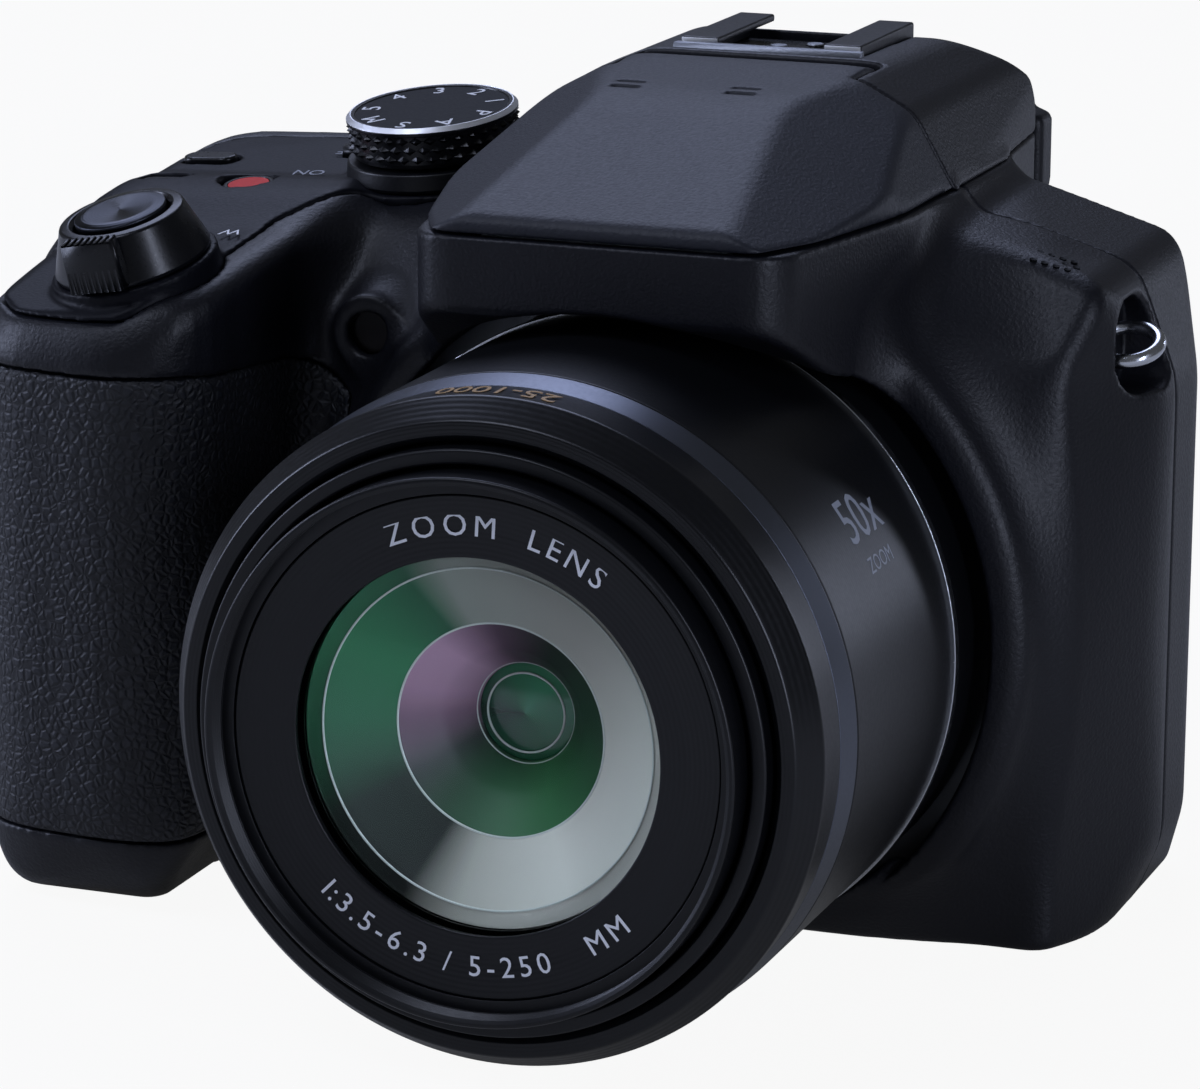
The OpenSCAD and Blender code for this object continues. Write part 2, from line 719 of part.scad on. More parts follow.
dial_base = 0.3 + 2 * gap + lever_h;
module mode_dial() color("#1c1d22") on_dial() {
    translate([0, 0, dial_base]) cylinder(r = dial_r, h = dial_h);
    translate([0, 0, -collar_drop]) cylinder(r = shaft_r, h = collar_drop + dial_base + 1);
}

zoom_h = 5.6;
module zoom_lever() color("#222329") on_shutter() translate([0, 0, 0.3 + gap / 2]) {
    difference() {
        cylinder(r1 = zoom_r, r2 = shutter_r + 1.7, h = zoom_h);
        translate([0, 0, -1]) cylinder(r = zoom_boss_r + run, h = 1 + zoom_boss_h + gap);
        translate([0, 0, -1]) cylinder(r = shutter_r + gap, h = zoom_h + 2);
    }
    difference() {
        block([-3.2, -zoom_r - 1.2, 0.4], [3.2, -zoom_boss_r - 0.8, zoom_h + 0.4]);
        translate([0, 0, -1]) cylinder(r = zoom_boss_r + 0.6, h = zoom_h + 4);
    }
}

shutter_travel = 1.2;
module shutter_button() color("#4a4c52") on_shutter() {
    translate([0, 0, 0.3 + zoom_boss_h + shutter_travel + gap]) cylinder(r = shutter_r, h = 1.6);
    translate([0, 0, -2]) cylinder(r = shutter_stem_r, h = 3 + zoom_boss_h + shutter_travel);
}

module movie_button() color("#26272c") on_deck(movie_at)
    translate([0, 0, -3]) cylinder(r = movie_r, h = 3.5);

module focus_button() color("#222329") on_deck(focus_at) oval(oval_l, oval_w, -3, 0.6);
module drive_button() color("#222329") on_deck(drive_at) oval(oval_l, oval_w, -3, 0.6);

module rear_dial() color("#202126") rod_z(wheel_r, wheel_z, wheel_z + wheel_w, wheel_at.x, wheel_at.y);

module cursor_pad() color("#202126") difference() {
    back_button(cursor_at, cursor_r);
    back_hole(cursor_at, menu_r);
}
module menu_button() color("#25262b") back_button(cursor_at, menu_r);
module play_button() color("#25262b") back_button(play_at, small_r);
module display_button() color("#25262b") back_button(display_at, small_r);
module delete_button() color("#25262b") back_button(delete_at, small_r);
module viewfinder_button() color("#25262b") back_button(finder_button_at, small_r);
module flash_button() color("#25262b") back_button(flash_button_at, small_r);

module diopter_dial() color("#25262b") rod_x(diopter_r, 0.5 - hump_half, 5 - hump_half, 37, 76);

glass_t = 1.2;
module screen_module() color("#101114") screen_outline(0, case_back - wall - 2, case_back + 0.4 - glass_t);
module screen_glass() color("#0b0c10") screen_outline(0, case_back + 0.4 - glass_t, case_back + 0.4);

module eyecup() color("#141518") difference() {
    front_solid([
        [-21, eye_z - 10, 5], [21, eye_z - 10, 5], [21, eye_z + 8.5, 6], [-21, eye_z + 8.5, 6]
    ], hump_back, eyecup_back);
    finder_hole(-0.6);
}

module eyepiece_lens() color("#3b4450") intersection() {
    finder_hole(0);
    block([-far, hump_back - 2.5, 0], [far, hump_back - 0.5, far]);
}

module finder_module() color("#33353b") intersection() {
    finder_hole(-1);
    block([-far, hump_back - 18, 0], [far, hump_back - 2.5, far]);
}

// Lens
barrel_back = -plate_y;
module barrel_window() translate([0, 0, lens_z]) rotate([0, -gear_angle, 0])
    block([cam_r - 3, gear_y - 0.4, -pinion_pitch_r - 2], [far, gear_y + gear_w + 0.4, pinion_pitch_r + 2]);

module lens_barrel() color("#141519") difference() {
    lens_tube(barrel_r, barrel_in, rim_back, barrel_back);
    barrel_window();
}

trim_front = 27;
module barrel_trim_ring() color("#c4c7cc") lens_tube(barrel_r + 0.3, barrel_r, trim_front, trim_front - 1.4);

module front_ring() color("#17181d") turned([
    [cam_in, rim_back], [barrel_r, rim_back], [barrel_r - 0.6, rim_back + 3.5], [barrel_r - 0.4, rim_front - 3.2],
    [rim_r, rim_front], [cam_in + 0.6, rim_front], [cam_in, rim_front - 0.6]
]);

stage_back = barrel_back + 7.5;
module zoom_barrel_middle() color("#101114")
    lens_tube(middle_r, middle_r - stage_wall, rim_front + 1.5, stage_back);

lens_seat = inner_front - 10.5;
seat_w = 2;
module zoom_barrel_inner() color("#131418") turned([
    [inner_in, stage_back + 4], [inner_barrel_r, stage_back + 4], [inner_barrel_r, inner_front],
    [filter_r, inner_front], [filter_r, inner_front - thread_l], [inner_in, inner_front - thread_l],
    [inner_in, lens_seat],
    [glass_r - 2, lens_seat], [glass_r - 2, lens_seat - seat_w], [inner_in, lens_seat - seat_w]
]);

name_front = inner_front - thread_l - 0.1;
module name_ring() color("#15161b") turned([
    [glass_r + 0.6, name_front - 2.2], [inner_in, name_front - 2.2], [inner_in, name_front],
    [glass_r, name_front - 0.5]
]);

lens_bulge = 3;
lens_edge = 5;
function dome(r, z0, bulge) =
    let(big = (r * r + bulge * bulge) / (2 * bulge))
    [for (i = [0:8]) let(x = r * (8 - i) / 8) [x, z0 + sqrt(big * big - x * x) - big + bulge]];
module front_lens() color("#2f5a46")
    turned(concat([[0, lens_seat], [glass_r + 0.3, lens_seat]],
        dome(glass_r + 0.3, lens_seat + lens_edge, lens_bulge)));

module middle_lens_group() color("#3d4a52") turned(concat([[0, stage_back], [middle_r - stage_wall, stage_back],
    [middle_r - stage_wall, stage_back + 2.5]], dome(14, stage_back + 2.5, 1.2)));

module rear_lens_group() color("#3d4a52")
    turned(concat([[0, barrel_back], [17, barrel_back], [17, barrel_back + 3]],
        dome(14, barrel_back + 4.5, 1.5)));

tooth_h = 1.2;
// Tooth outline in the plane of a gear: root and tip radius, and the angles of half a tooth there
function tooth(root, tip, half_root, half_tip, a) = [
    root * [cos(a - half_root), sin(a - half_root)], tip * [cos(a - half_tip), sin(a - half_tip)],
    tip * [cos(a + half_tip), sin(a + half_tip)], root * [cos(a + half_root), sin(a + half_root)]
];

cam_root_r = cam_r - tooth_h;
cam_turn = 120;
cam_tooth_first = -2;
cam_tooth_count = ceil(cam_teeth * cam_turn / 360) + 5;
cam_pitch = 360 / cam_teeth;
module cam_ring() color("#4b4d52") {
    turned([
        [cam_in, -gear_y - gear_w], [cam_root_r, -gear_y - gear_w], [cam_root_r, -gear_y], [cam_r, -gear_y],
        [cam_r, rim_back - 0.5], [cam_in, rim_back - 0.5]
    ]);
    translate([0, gear_y + gear_w, lens_z]) rotate([90, 0, 0]) linear_extrude(gear_w + 0.5)
        for (i = [0:cam_tooth_count - 1])
            polygon(tooth(cam_root_r - 0.1, cam_r - 0.05, 0.3 * cam_pitch, 0.15 * cam_pitch,
                gear_angle + (cam_tooth_first + i) * cam_pitch));
}

pinion_tip_r = pinion_pitch_r + 0.4;
pinion_root_r = pinion_pitch_r - 0.8;
pinion_step = 360 / pinion_teeth;
module drive_pinion() color("#c9b26b") translate([pinion_at.x, 0, pinion_at.y]) {
    translate([0, gear_y + gear_w, 0]) rotate([90, 0, 0]) linear_extrude(gear_w) {
        circle(r = pinion_root_r);
        for (i = [0:pinion_teeth - 1])
            polygon(tooth(pinion_root_r - 0.3, pinion_tip_r, 0.3 * pinion_step, 0.13 * pinion_step,
                gear_angle + 180 + (i + 0.5) * pinion_step));
    }
    rod_y(1, gear_y, plate_y + plate_t - 0.2, 0, 0);
}

motor_l = 11;
module zoom_motor() color("#6d7076")
    rod_y(5.5, plate_y + plate_t, plate_y + plate_t + motor_l, pinion_at.x, pinion_at.y);

leg_places = [[36, 8], [36, 63], [-36, 8], [-43, 58]];
leg_r = 2.2;
post_places = [[board_x[0] + 4, board_z[0] + 4], [board_x[1] - 7, board_z[0] + 4],
    [board_x[0] + 4, board_z[1] - 14], [board_x[1] - 7, board_z[1] - 4]];
module lens_mount_plate() color("#8a8d92") difference() {
    union() {
        block([-46, plate_y, 4], [39, plate_y + plate_t, 68]);
        for (p = leg_places) rod_y(leg_r, wall - case_front, plate_y + 0.5, p.x, p.y);
        for (p = post_places) rod_y(2, plate_y + 1, board_y, p.x, p.y);
    }
    rod_y(10, plate_y - 1, plate_y + plate_t + 1, 0, lens_z);
    rod_y(1 + run, plate_y - 1, plate_y + plate_t + 1, pinion_at.x, pinion_at.y);
}

module image_sensor() color("#3f6b52") {
    block([-16, plate_y + plate_t, lens_z - 14], [16, plate_y + plate_t + 1.4, lens_z + 14]);
    block([-5, plate_y + 0.5, lens_z - 4], [5, plate_y + plate_t + 0.1, lens_z + 4]);
}

// Doors
door_axis_x = door_x + door_w - door_t / 2;
door_axis_z = door_t / 2;
module battery_door() color("#17181c") difference() {
    union() {
        intersection() {
            union() {
                block([door_x, door_y, -1], [door_step.x, door_y + door_l, door_t]);
                block([door_step.x - 1, door_step.y, -1], [door_axis_x, door_y + door_l, door_t]);
            }
            union() {
                main_body(0);
                grip_body(0);
            }
        }
        rod_y(door_t / 2, door_step.y, door_y + door_l, door_axis_x, door_axis_z);
    }
    rod_y(0.5 + run, -far, far, door_axis_x, door_axis_z);
    translate([door_x + 3, door_y + door_l / 2, 0]) block([-0.3, -4.3, -1], [7.3, 4.3, door_t - 0.8]);
}

module battery_door_pin() color("#b9bcc2")
    rod_y(0.5, door_step.y - gap, door_y + door_l + gap, door_axis_x, door_axis_z);

module battery_latch() color("#2c2d33") translate([door_x + 3, door_y + door_l / 2, 0])
    block([0, -4, 0.1], [4, 4, door_t - 0.9]);

port_hinge = [door_t / 2 - grip_reach, port_y + port_door_w - door_t / 2];
module terminal_door() color("#1a1b1f") {
    block([-grip_reach, port_y, port_z], [door_t - grip_reach, port_hinge.y, port_z + port_door_h]);
    rod_z(door_t / 2, port_z, port_z + port_door_h, port_hinge.x, port_hinge.y);
}

module terminal_ports() color("#55585e") difference() {
    block([wall + 0.2 - grip_reach, port_y - 1, port_z - 1],
        [wall + 4.8 - grip_reach, port_y + port_door_w + 1, port_z + port_door_h + 1]);
    block([-far, port_y + 4, port_z + 3], [wall + 4 - grip_reach, port_y + 6.8, port_z + 11]);
    block([-far, port_y + 4, port_z + 15], [wall + 4 - grip_reach, port_y + 7.2, port_z + 22.5]);
}

// Inside
module main_board() color("#2f6b45") {
    block([board_x[0], board_y, board_z[0]], [board_x[1], board_y + board_t, board_z[1]]);
    for (p = [[0, 40], [20, 22], [26, 48]]) block([p.x, board_y - 1.2, p.y - 6], [p.x + 12, board_y, p.y + 6]);
}

battery_x = door_x + 0.5;
module battery() color("#2a2b2f")
    translate([battery_x, door_y + 1.5, door_t + gap]) cube([battery_t, battery_w, battery_h]);

card_t = 2.1;
card_w = 24;
module memory_card() color("#20305a")
    translate([battery_x + battery_t + 0.6, door_y + door_l - 0.5 - card_w, door_t + gap])
        cube([card_t, card_w, 32]);

module flash_capacitor() color("#23345e") rod_z(5, wall, wall + 34, 37.5 - grip_reach, 4);

module case_screws() color("#8f9298") for (p = screw_places) {
    rod_z(screw_r, 0, wall + 2.5, p.x, p.y);
    rod_z(screw_head_r, 0.1, screw_head_h + 0.1, p.x, p.y);
}

module tripod_socket() color("#a9acb2") difference() {
    rod_z(socket_r, 0, tripod_depth + 2, 0, 0);
    rod_z(tripod_r, -1, tripod_depth, 0, 0);
}

module eyelet() rotate_extrude() translate([eyelet_ring, 0]) circle(r = eyelet_wire, $fn = 24);
module strap_eyelets() color("#cfd1d5") {
    translate(eyelet_at) rotate([20, 0, 0]) eyelet();
    translate(eyelet_far) rotate([20, 0, 0]) eyelet();
}

module focus_lamp_window() color("#5a2a22") rod_y(2.4, -case_front - 1.5, 1 - case_front, lamp_at.x, lamp_at.y);

front_case();
rear_case();
hump_cover();
top_panel();
grip_rubber();
thumb_rest();
flash_lid();
flash_head();
flash_window();
flash_hinge_pin();
hot_shoe_rails();
hot_shoe_plate();
mode_dial();
power_lever();
shutter_button();
zoom_lever();
movie_button();
focus_button();
drive_button();
rear_dial();
cursor_pad();
menu_button();
play_button();
display_button();
delete_button();
viewfinder_button();
flash_button();
diopter_dial();
screen_module();
screen_glass();
eyecup();
eyepiece_lens();
finder_module();
lens_barrel();
barrel_trim_ring();
front_ring();
zoom_barrel_middle();
zoom_barrel_inner();
name_ring();
front_lens();
middle_lens_group();
rear_lens_group();
cam_ring();
drive_pinion();
zoom_motor();
lens_mount_plate();
image_sensor();
battery_door();
battery_door_pin();
battery_latch();
terminal_door();
terminal_ports();
main_board();
battery();
memory_card();
flash_capacitor();
case_screws();
tripod_socket();
strap_eyelets();
focus_lamp_window();
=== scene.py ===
# %% [markdown]
# A bridge camera: one moulded body with a deep hand grip, a hump that hides the pop-up flash, and a
# large zoom lens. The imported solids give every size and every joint. This lesson dresses them: soft
# moulded shells, turned lens rings, knurled dials, coated glass, and the finish of each surface.

import json
import math

import bmesh
import bpy
import numpy as np
import openvdb
from mathutils import Matrix, Vector


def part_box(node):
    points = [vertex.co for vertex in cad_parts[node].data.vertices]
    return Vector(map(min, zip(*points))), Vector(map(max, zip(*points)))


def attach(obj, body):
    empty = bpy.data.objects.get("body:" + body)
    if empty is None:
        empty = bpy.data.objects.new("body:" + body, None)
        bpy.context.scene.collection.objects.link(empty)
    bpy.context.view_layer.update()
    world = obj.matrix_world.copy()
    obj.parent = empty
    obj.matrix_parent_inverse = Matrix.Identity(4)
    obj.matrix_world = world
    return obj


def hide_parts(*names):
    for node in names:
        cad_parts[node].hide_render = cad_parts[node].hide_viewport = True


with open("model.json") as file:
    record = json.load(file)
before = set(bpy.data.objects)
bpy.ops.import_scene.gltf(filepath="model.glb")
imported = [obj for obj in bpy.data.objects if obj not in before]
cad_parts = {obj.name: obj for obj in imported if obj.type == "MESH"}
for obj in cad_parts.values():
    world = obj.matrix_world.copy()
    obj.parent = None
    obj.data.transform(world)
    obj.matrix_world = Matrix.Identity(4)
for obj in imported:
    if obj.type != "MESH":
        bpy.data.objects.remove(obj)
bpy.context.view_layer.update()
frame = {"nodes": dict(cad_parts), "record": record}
nodes = frame["nodes"]
MM = 0.001


def node_box(name):
    """The two corners of a solid's box, in millimetres."""
    low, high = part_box(name)
    return np.array(low) / MM, np.array(high) / MM


record = frame["record"]
body_of = {node: body for body, members in record["behaviour"]["bodies"].items() for node in members}

# %% [markdown]
# The camera comes first, so that every later piece can be judged from the photograph's own view.
# Its place was solved from the lens circles, the accessory shoe and the overall width. A constraint
# that tracks an empty would aim it as well, but three written axes keep the small roll exact.

# %% Camera
AZIMUTH, ELEVATION, ROLL = (math.radians(angle) for angle in (20.70, 14.34, 0.21))
VIEW_TARGET = Vector((-6.39, -22.0, 43.88)) * MM
VIEW_DISTANCE = 551.7 * MM
FOCAL_LENGTH = 151.82

view_back = Vector((math.sin(AZIMUTH) * math.cos(ELEVATION), -math.cos(AZIMUTH) * math.cos(ELEVATION),
                    math.sin(ELEVATION)))
view_right = Vector((math.cos(AZIMUTH), math.sin(AZIMUTH), 0.0))
view_right = Matrix.Rotation(ROLL, 3, view_back) @ view_right
view_up = view_back.cross(view_right)
camera_data = bpy.data.cameras.new("photo_view")
camera_data.lens = FOCAL_LENGTH
camera_data.clip_start = 0.02
camera = bpy.data.objects.new("photo_view", camera_data)
camera.matrix_world = Matrix.Translation(VIEW_TARGET + VIEW_DISTANCE * view_back) @ Matrix(
    (view_right, view_up, view_back)).transposed().to_4x4()
scene = bpy.context.scene
scene.collection.objects.link(camera)
scene.camera = camera
scene.view_settings.view_transform = "Standard"
print("camera", tuple(round(c, 4) for c in camera.matrix_world.translation))

# %% [markdown]
# Finishes. Each material is named for what the real surface is made of. One helper adds a node, sets
# its sockets and links it, and one function turns a written sRGB colour into Blender's linear one.
# Patterns read Object coordinates, which are metres here, so a pattern's scale is 1 / its real size.
# Painted pictures could do the same job, but they need unwrapping and blur when the view comes close.

# %% Material helpers
def linear(hex_colour):
    """An sRGB hex colour as linear RGBA."""
    values = [int(hex_colour[i:i + 2], 16) / 255 for i in (1, 3, 5)]
    return (*(v / 12.92 if v <= 0.04045 else ((v + 0.055) / 1.055) ** 2.4 for v in values), 1.0)


def add(tree, kind, inputs=None, **settings):
    """Adds a node; inputs maps a socket's name or number to a value or to another node's output."""
    node = tree.nodes.new(kind)
    for key, value in settings.items():
        setattr(node, key, value)
    for key, value in (inputs or {}).items():
        if isinstance(value, bpy.types.NodeSocket):
            tree.links.new(value, node.inputs[key])
        else:
            node.inputs[key].default_value = value
    return node


def finish(name, colour, **sockets):
    """A principled material; returns it with its tree, its shader and its Object coordinates."""
    material = bpy.data.materials.new(name)
    material.use_nodes = True
    tree = material.node_tree
    shader = tree.nodes["Principled BSDF"]
    shader.inputs["Base Color"].default_value = linear(colour)
    for key, value in sockets.items():
        shader.inputs[key.replace("_", " ")].default_value = value
    return material, tree, shader, add(tree, "ShaderNodeTexCoord").outputs["Object"]


def per_mm(millimetres):
    """Texture scale whose grain is that many millimetres."""
    return 1 / (millimetres * MM)


def tint(tree, shader, factor, dark, light):
    """Varies the base colour between two hex colours."""
    ramp = add(tree, "ShaderNodeMix", {"Factor": factor}, data_type="RGBA")
    ramp.inputs[6].default_value = linear(dark)
    ramp.inputs[7].default_value = linear(light)
    tree.links.new(ramp.outputs[2], shader.inputs["Base Color"])


def rough(tree, shader, factor, low, high):
    """Varies the roughness between two values."""
    span = add(tree, "ShaderNodeMapRange", {0: factor, 3: low, 4: high})
    tree.links.new(span.outputs[0], shader.inputs["Roughness"])


def bump(tree, shader, height, depth_mm, strength=1.0):
    """Surface relief of a given depth in millimetres."""
    node = add(tree, "ShaderNodeBump", {"Height": height, "Strength": strength, "Distance": depth_mm * MM})
    tree.links.new(node.outputs[0], shader.inputs["Normal"])


def grained(name, colour, grain_mm, detail, shine=None, light=None, depth=None, **sockets):
    """A finish whose shine, tone or relief follows one noise of a given grain."""
    material, tree, shader, point = finish(name, colour, **sockets)
    noise = add(tree, "ShaderNodeTexNoise", {"Vector": point, "Scale": per_mm(grain_mm), "Detail": detail})
    if shine:
        rough(tree, shader, noise.outputs["Fac"], *shine)
    if light:
        tint(tree, shader, noise.outputs["Fac"], colour, light)
    if depth:
        bump(tree, shader, noise.outputs["Fac"], depth)
    return material


print("material helpers ready")

# %% [markdown]
# The case is black ABS from a spark-eroded mould: a fine sand texture that scatters light as tiny
# sparkles on every edge that faces a lamp. The grain is about a third of a millimetre, drawn slightly
# coarse so that it shows. The flash lid has the same texture in a base colour a shade lighter: painted
# light for the sheen its top takes from the lamp above. Modelled grain would cost millions of faces, so
# one noise drives the roughness and the relief together.

# %% Moulded plastics
SAND_GRAIN = 0.42
SAND_DEPTH = 0.06


def sand_plastic(name, dark, light, low, high, depth=SAND_DEPTH, shine=0.34):
    """Moulded plastic with a sand grain and a slow change of tone."""
    material, tree, shader, point = finish(name, dark, Specular_IOR_Level=shine, IOR=1.5)
    sand = add(tree, "ShaderNodeTexNoise", {"Vector": point, "Scale": per_mm(SAND_GRAIN), "Detail": 2.0})
    cloud = add(tree, "ShaderNodeTexNoise", {"Vector": point, "Scale": per_mm(9.0), "Detail": 3.0})
    tint(tree, shader, cloud.outputs["Fac"], dark, light)
    rough(tree, shader, sand.outputs["Fac"], low, high)
    bump(tree, shader, sand.outputs["Fac"], depth)
    return material


case_plastic = sand_plastic("sand_textured_abs", "#07080e", "#0b0c14", 0.36, 0.56)
# The lid's lighter colours are painted light, standing for the sheen of the lamp above it.
lid_plastic_painted_light = sand_plastic("sand_textured_lid_abs", "#14161d", "#191b23", 0.42, 0.60)
panel_plastic = sand_plastic("satin_deck_abs", "#07080e", "#0b0c13", 0.40, 0.54, 0.03, 0.12)
control_plastic = sand_plastic("fine_textured_control_abs", "#08090c", "#0d0e12", 0.30, 0.46, 0.02)
print("plastics", case_plastic.name, lid_plastic_painted_light.name, control_plastic.name)

# %% [markdown]
# The grip is thermoplastic rubber with a leather-like pebble: rounded cells about a millimetre wide
# with fine creases between them, matt, and slightly greyer than the hard plastic. A cell texture that
# gives the distance to the nearest edge draws the creases, and a noise bends it so that no row shows.

# %% Grip rubber
PEBBLE = 1.0
rubber, tree, shader, point = finish("pebbled_grip_rubber", "#0d0e11", Specular_IOR_Level=0.42)
warp = add(tree, "ShaderNodeTexNoise", {"Vector": point, "Scale": per_mm(1.6), "Detail": 2.0})
bend = add(tree, "ShaderNodeVectorMath", {0: warp.outputs["Color"], 1: (0.5, 0.5, 0.5)},
           operation="SUBTRACT")
shift = add(tree, "ShaderNodeVectorMath", {0: bend.outputs[0], "Scale": 0.6 * MM}, operation="SCALE")
moved = add(tree, "ShaderNodeVectorMath", {0: point, 1: shift.outputs[0]}, operation="ADD")
cells = add(tree, "ShaderNodeTexVoronoi", {"Vector": moved.outputs[0], "Scale": per_mm(PEBBLE)},
            feature="DISTANCE_TO_EDGE")
crown = add(tree, "ShaderNodeMapRange", {0: cells.outputs["Distance"], 1: 0.0, 2: 0.32},
            interpolation_type="SMOOTHSTEP")
fine = add(tree, "ShaderNodeTexNoise", {"Vector": point, "Scale": per_mm(0.3), "Detail": 1.0})
relief = add(tree, "ShaderNodeMath", {0: fine.outputs["Fac"], 1: 0.25, 2: crown.outputs[0]},
             operation="MULTIPLY_ADD")
# Cell tops painted lighter and creases darker: painted shade in the creases, on top of the relief.
tint(tree, shader, crown.outputs[0], "#0b0c10", "#17191f")
rough(tree, shader, crown.outputs[0], 0.62, 0.48)
bump(tree, shader, relief.outputs[0], 0.12)
print("rubber pebble", PEBBLE, "mm")

# %% [markdown]
# Lens plastics. Turned rings keep fine circular tool lines, so their relief follows the distance from
# the lens axis on front faces and the distance along the axis on the outside. Cut into the mesh, the
# lines would need thousands of loops, so a sine wave in the relief stands for them.

# %% Lens finishes
LENS_Z = (node_box("lens_barrel")[0][2] + node_box("lens_barrel")[1][2]) / 2


def turned_lines(tree, point, pitch_mm, along):
    """A wave along the axis, or out from the lens axis, one ridge for each pitch."""
    parts = add(tree, "ShaderNodeSeparateXYZ", {0: point})
    if along:
        place = parts.outputs[1]
    else:
        height = add(tree, "ShaderNodeMath", {0: parts.outputs[2], 1: LENS_Z * MM}, operation="SUBTRACT")
        flat = add(tree, "ShaderNodeCombineXYZ", {0: parts.outputs[0], 1: height.outputs[0]})
        place = add(tree, "ShaderNodeVectorMath", {0: flat.outputs[0]}, operation="LENGTH").outputs["Value"]
    turns = add(tree, "ShaderNodeMath", {0: place, 1: 2 * math.pi / (pitch_mm * MM)}, operation="MULTIPLY")
    wave = add(tree, "ShaderNodeMath", {0: turns.outputs[0]}, operation="SINE")
    return add(tree, "ShaderNodeMapRange", {0: wave.outputs[0], 1: -1.0, 2: 1.0}).outputs[0]


def lens_black(name, colour, roughness, pitch_mm, depth_mm, along):
    """Black paint over tool lines, with a fine dust in its shine."""
    material, tree, shader, point = finish(name, colour, Roughness=roughness, Specular_IOR_Level=0.36)
    lines = turned_lines(tree, point, pitch_mm, along)
    dust = add(tree, "ShaderNodeTexNoise", {"Vector": point, "Scale": per_mm(0.5), "Detail": 2.0})
    rough(tree, shader, dust.outputs["Fac"], roughness - 0.05, roughness + 0.08)
    bump(tree, shader, lines, depth_mm)
    return material


barrel_satin = lens_black("satin_lens_paint", "#07080b", 0.34, 0.5, 0.002, True)
ring_satin = lens_black("fine_turned_ring", "#08090c", 0.30, 0.42, 0.012, False)
name_satin = lens_black("grooved_name_ring", "#08090c", 0.36, 0.55, 0.012, False)
print("lens axis height", round(LENS_Z, 2))


# %% [markdown]
# Metals. The trim band, the chamfer behind the front ring, the dial's edge and the shutter disc are bare
# or plated. A flat value of roughness would make them look drawn, so a noise makes the polish uneven.

# %% Metals
def metal(name, colour, roughness, grain_mm, depth_mm):
    """A bare or plated metal with a little uneven polish."""
    shine = (max(roughness - 0.08, 0.03), roughness + 0.12)
    return grained(name, colour, grain_mm, 3.0, shine, depth=depth_mm, Metallic=1.0)


cut_edge = metal("satin_cut_edge", "#e9eaec", 0.42, 0.5, 0.003)
nickel = metal("nickel_plated_steel", "#c9ccd2", 0.20, 0.8, 0.004)
chamfer_metal = metal("bright_turned_chamfer", "#5f636d", 0.34, 0.4, 0.004)
spun_metal = metal("dark_spun_aluminium", "#4b4e57", 0.30, 0.4, 0.002)
brass = metal("brass", "#c9a958", 0.28, 0.6, 0.004)
print("metals", cut_edge.name, nickel.name, chamfer_metal.name, spun_metal.name, brass.name)

# %% [markdown]
# Shells. The moulded body is made of a few outlines seen from above, from the front and from the
# side, the same ones that the solids use. A distance field is sampled on a grid, outlines are joined
# with round edges and round hollows, and the skin is read back as a mesh. That gives the flowing
# moulded form that sharp solids can't, with the parting lines still where the solids have them.

# %% Sample points and outlines
class Block:
    """A box of sample points in millimetres, with one array for each axis."""

    def __init__(self, low, high, step):
        self.low = low
        self.step = step
        self.axes = [np.arange(a, b + step, step, dtype=np.float32) for a, b in zip(low, high)]
        self.x, self.y, self.z = np.ix_(*self.axes)


def rounded(points, steps=8):
    """An outline's corners, each given as place and radius, as a closed line of points."""
    corners = np.array(points, float)
    line = []
    for before, (x, y, radius), after in zip(np.roll(corners, 1, 0), corners, np.roll(corners, -1, 0)):
        place = np.array((x, y))
        to_before = before[:2] - place
        to_after = after[:2] - place
        u = to_before / np.linalg.norm(to_before)
        v = to_after / np.linalg.norm(to_after)
        half = math.acos(max(-1.0, min(1.0, float(u @ v)))) / 2
        middle = place + (u + v) / np.linalg.norm(u + v) * radius / math.sin(half)
        start = place + u * radius / math.tan(half) - middle
        end = place + v * radius / math.tan(half) - middle
        first = math.atan2(start[1], start[0])
        sweep = (math.atan2(end[1], end[0]) - first + math.pi) % (2 * math.pi) - math.pi
        angles = first + sweep * np.linspace(0, 1, steps + 1)
        line.extend(middle + radius * np.stack([np.cos(angles), np.sin(angles)], 1))
    return np.array(line)


def outline(points, u, v):
    """Signed distance of a grid of places to a rounded outline, negative inside."""
    line = rounded(points)
    pu, pv = np.meshgrid(u, v, indexing="ij")
    nearest = np.full(pu.shape, 1e9)
    inside = np.zeros(pu.shape, bool)
    for a, b in zip(line, np.roll(line, -1, axis=0)):
        edge = b - a
        length = edge @ edge
        if length < 1e-12:
            continue
        wu, wv = pu - a[0], pv - a[1]
        t = np.clip((wu * edge[0] + wv * edge[1]) / length, 0, 1)
        nearest = np.minimum(nearest, (wu - t * edge[0]) ** 2 + (wv - t * edge[1]) ** 2)
        if abs(edge[1]) > 1e-9:
            inside ^= ((a[1] <= pv) != (b[1] <= pv)) & (wu < edge[0] * wv / edge[1])
    return (np.where(inside, -1.0, 1.0) * np.sqrt(nearest)).astype(np.float32)


def plan(points, block):
    """An outline seen from above, carried through the height of the block."""
    return outline(points, block.axes[0], block.axes[1])[:, :, None]


def front(points, block):
    return outline(points, block.axes[0], block.axes[2])[:, None, :]


def side(points, block):
    return outline(points, block.axes[1], block.axes[2])[None, :, :]


square = [(0, 0, 2), (9, 0, 2), (9, 9, 2), (0, 9, 2)]
print("four rounded corners become", len(rounded(square)), "points")


# %% [markdown]
# Joining and cutting. On a real mould every edge is eased and every inner corner is filled. With fields
# both come from one formula: the larger of two distances is what two forms share, the smaller is both
# together, and a quarter circle blends them. A Bevel modifier on a mesh fails where many edges meet.

# %% Joining and cutting
def both(a, b, radius):
    """What two fields share, with their common edge rounded."""
    corner = np.sqrt(np.maximum(a + radius, 0) ** 2 + np.maximum(b + radius, 0) ** 2)
    return np.minimum(np.maximum(a, b), -radius) + corner


def joined(a, b, radius):
    """Two fields together, with a round hollow where they meet."""
    corner = np.sqrt(np.maximum(radius - a, 0) ** 2 + np.maximum(radius - b, 0) ** 2)
    return np.maximum(np.minimum(a, b), radius) - corner


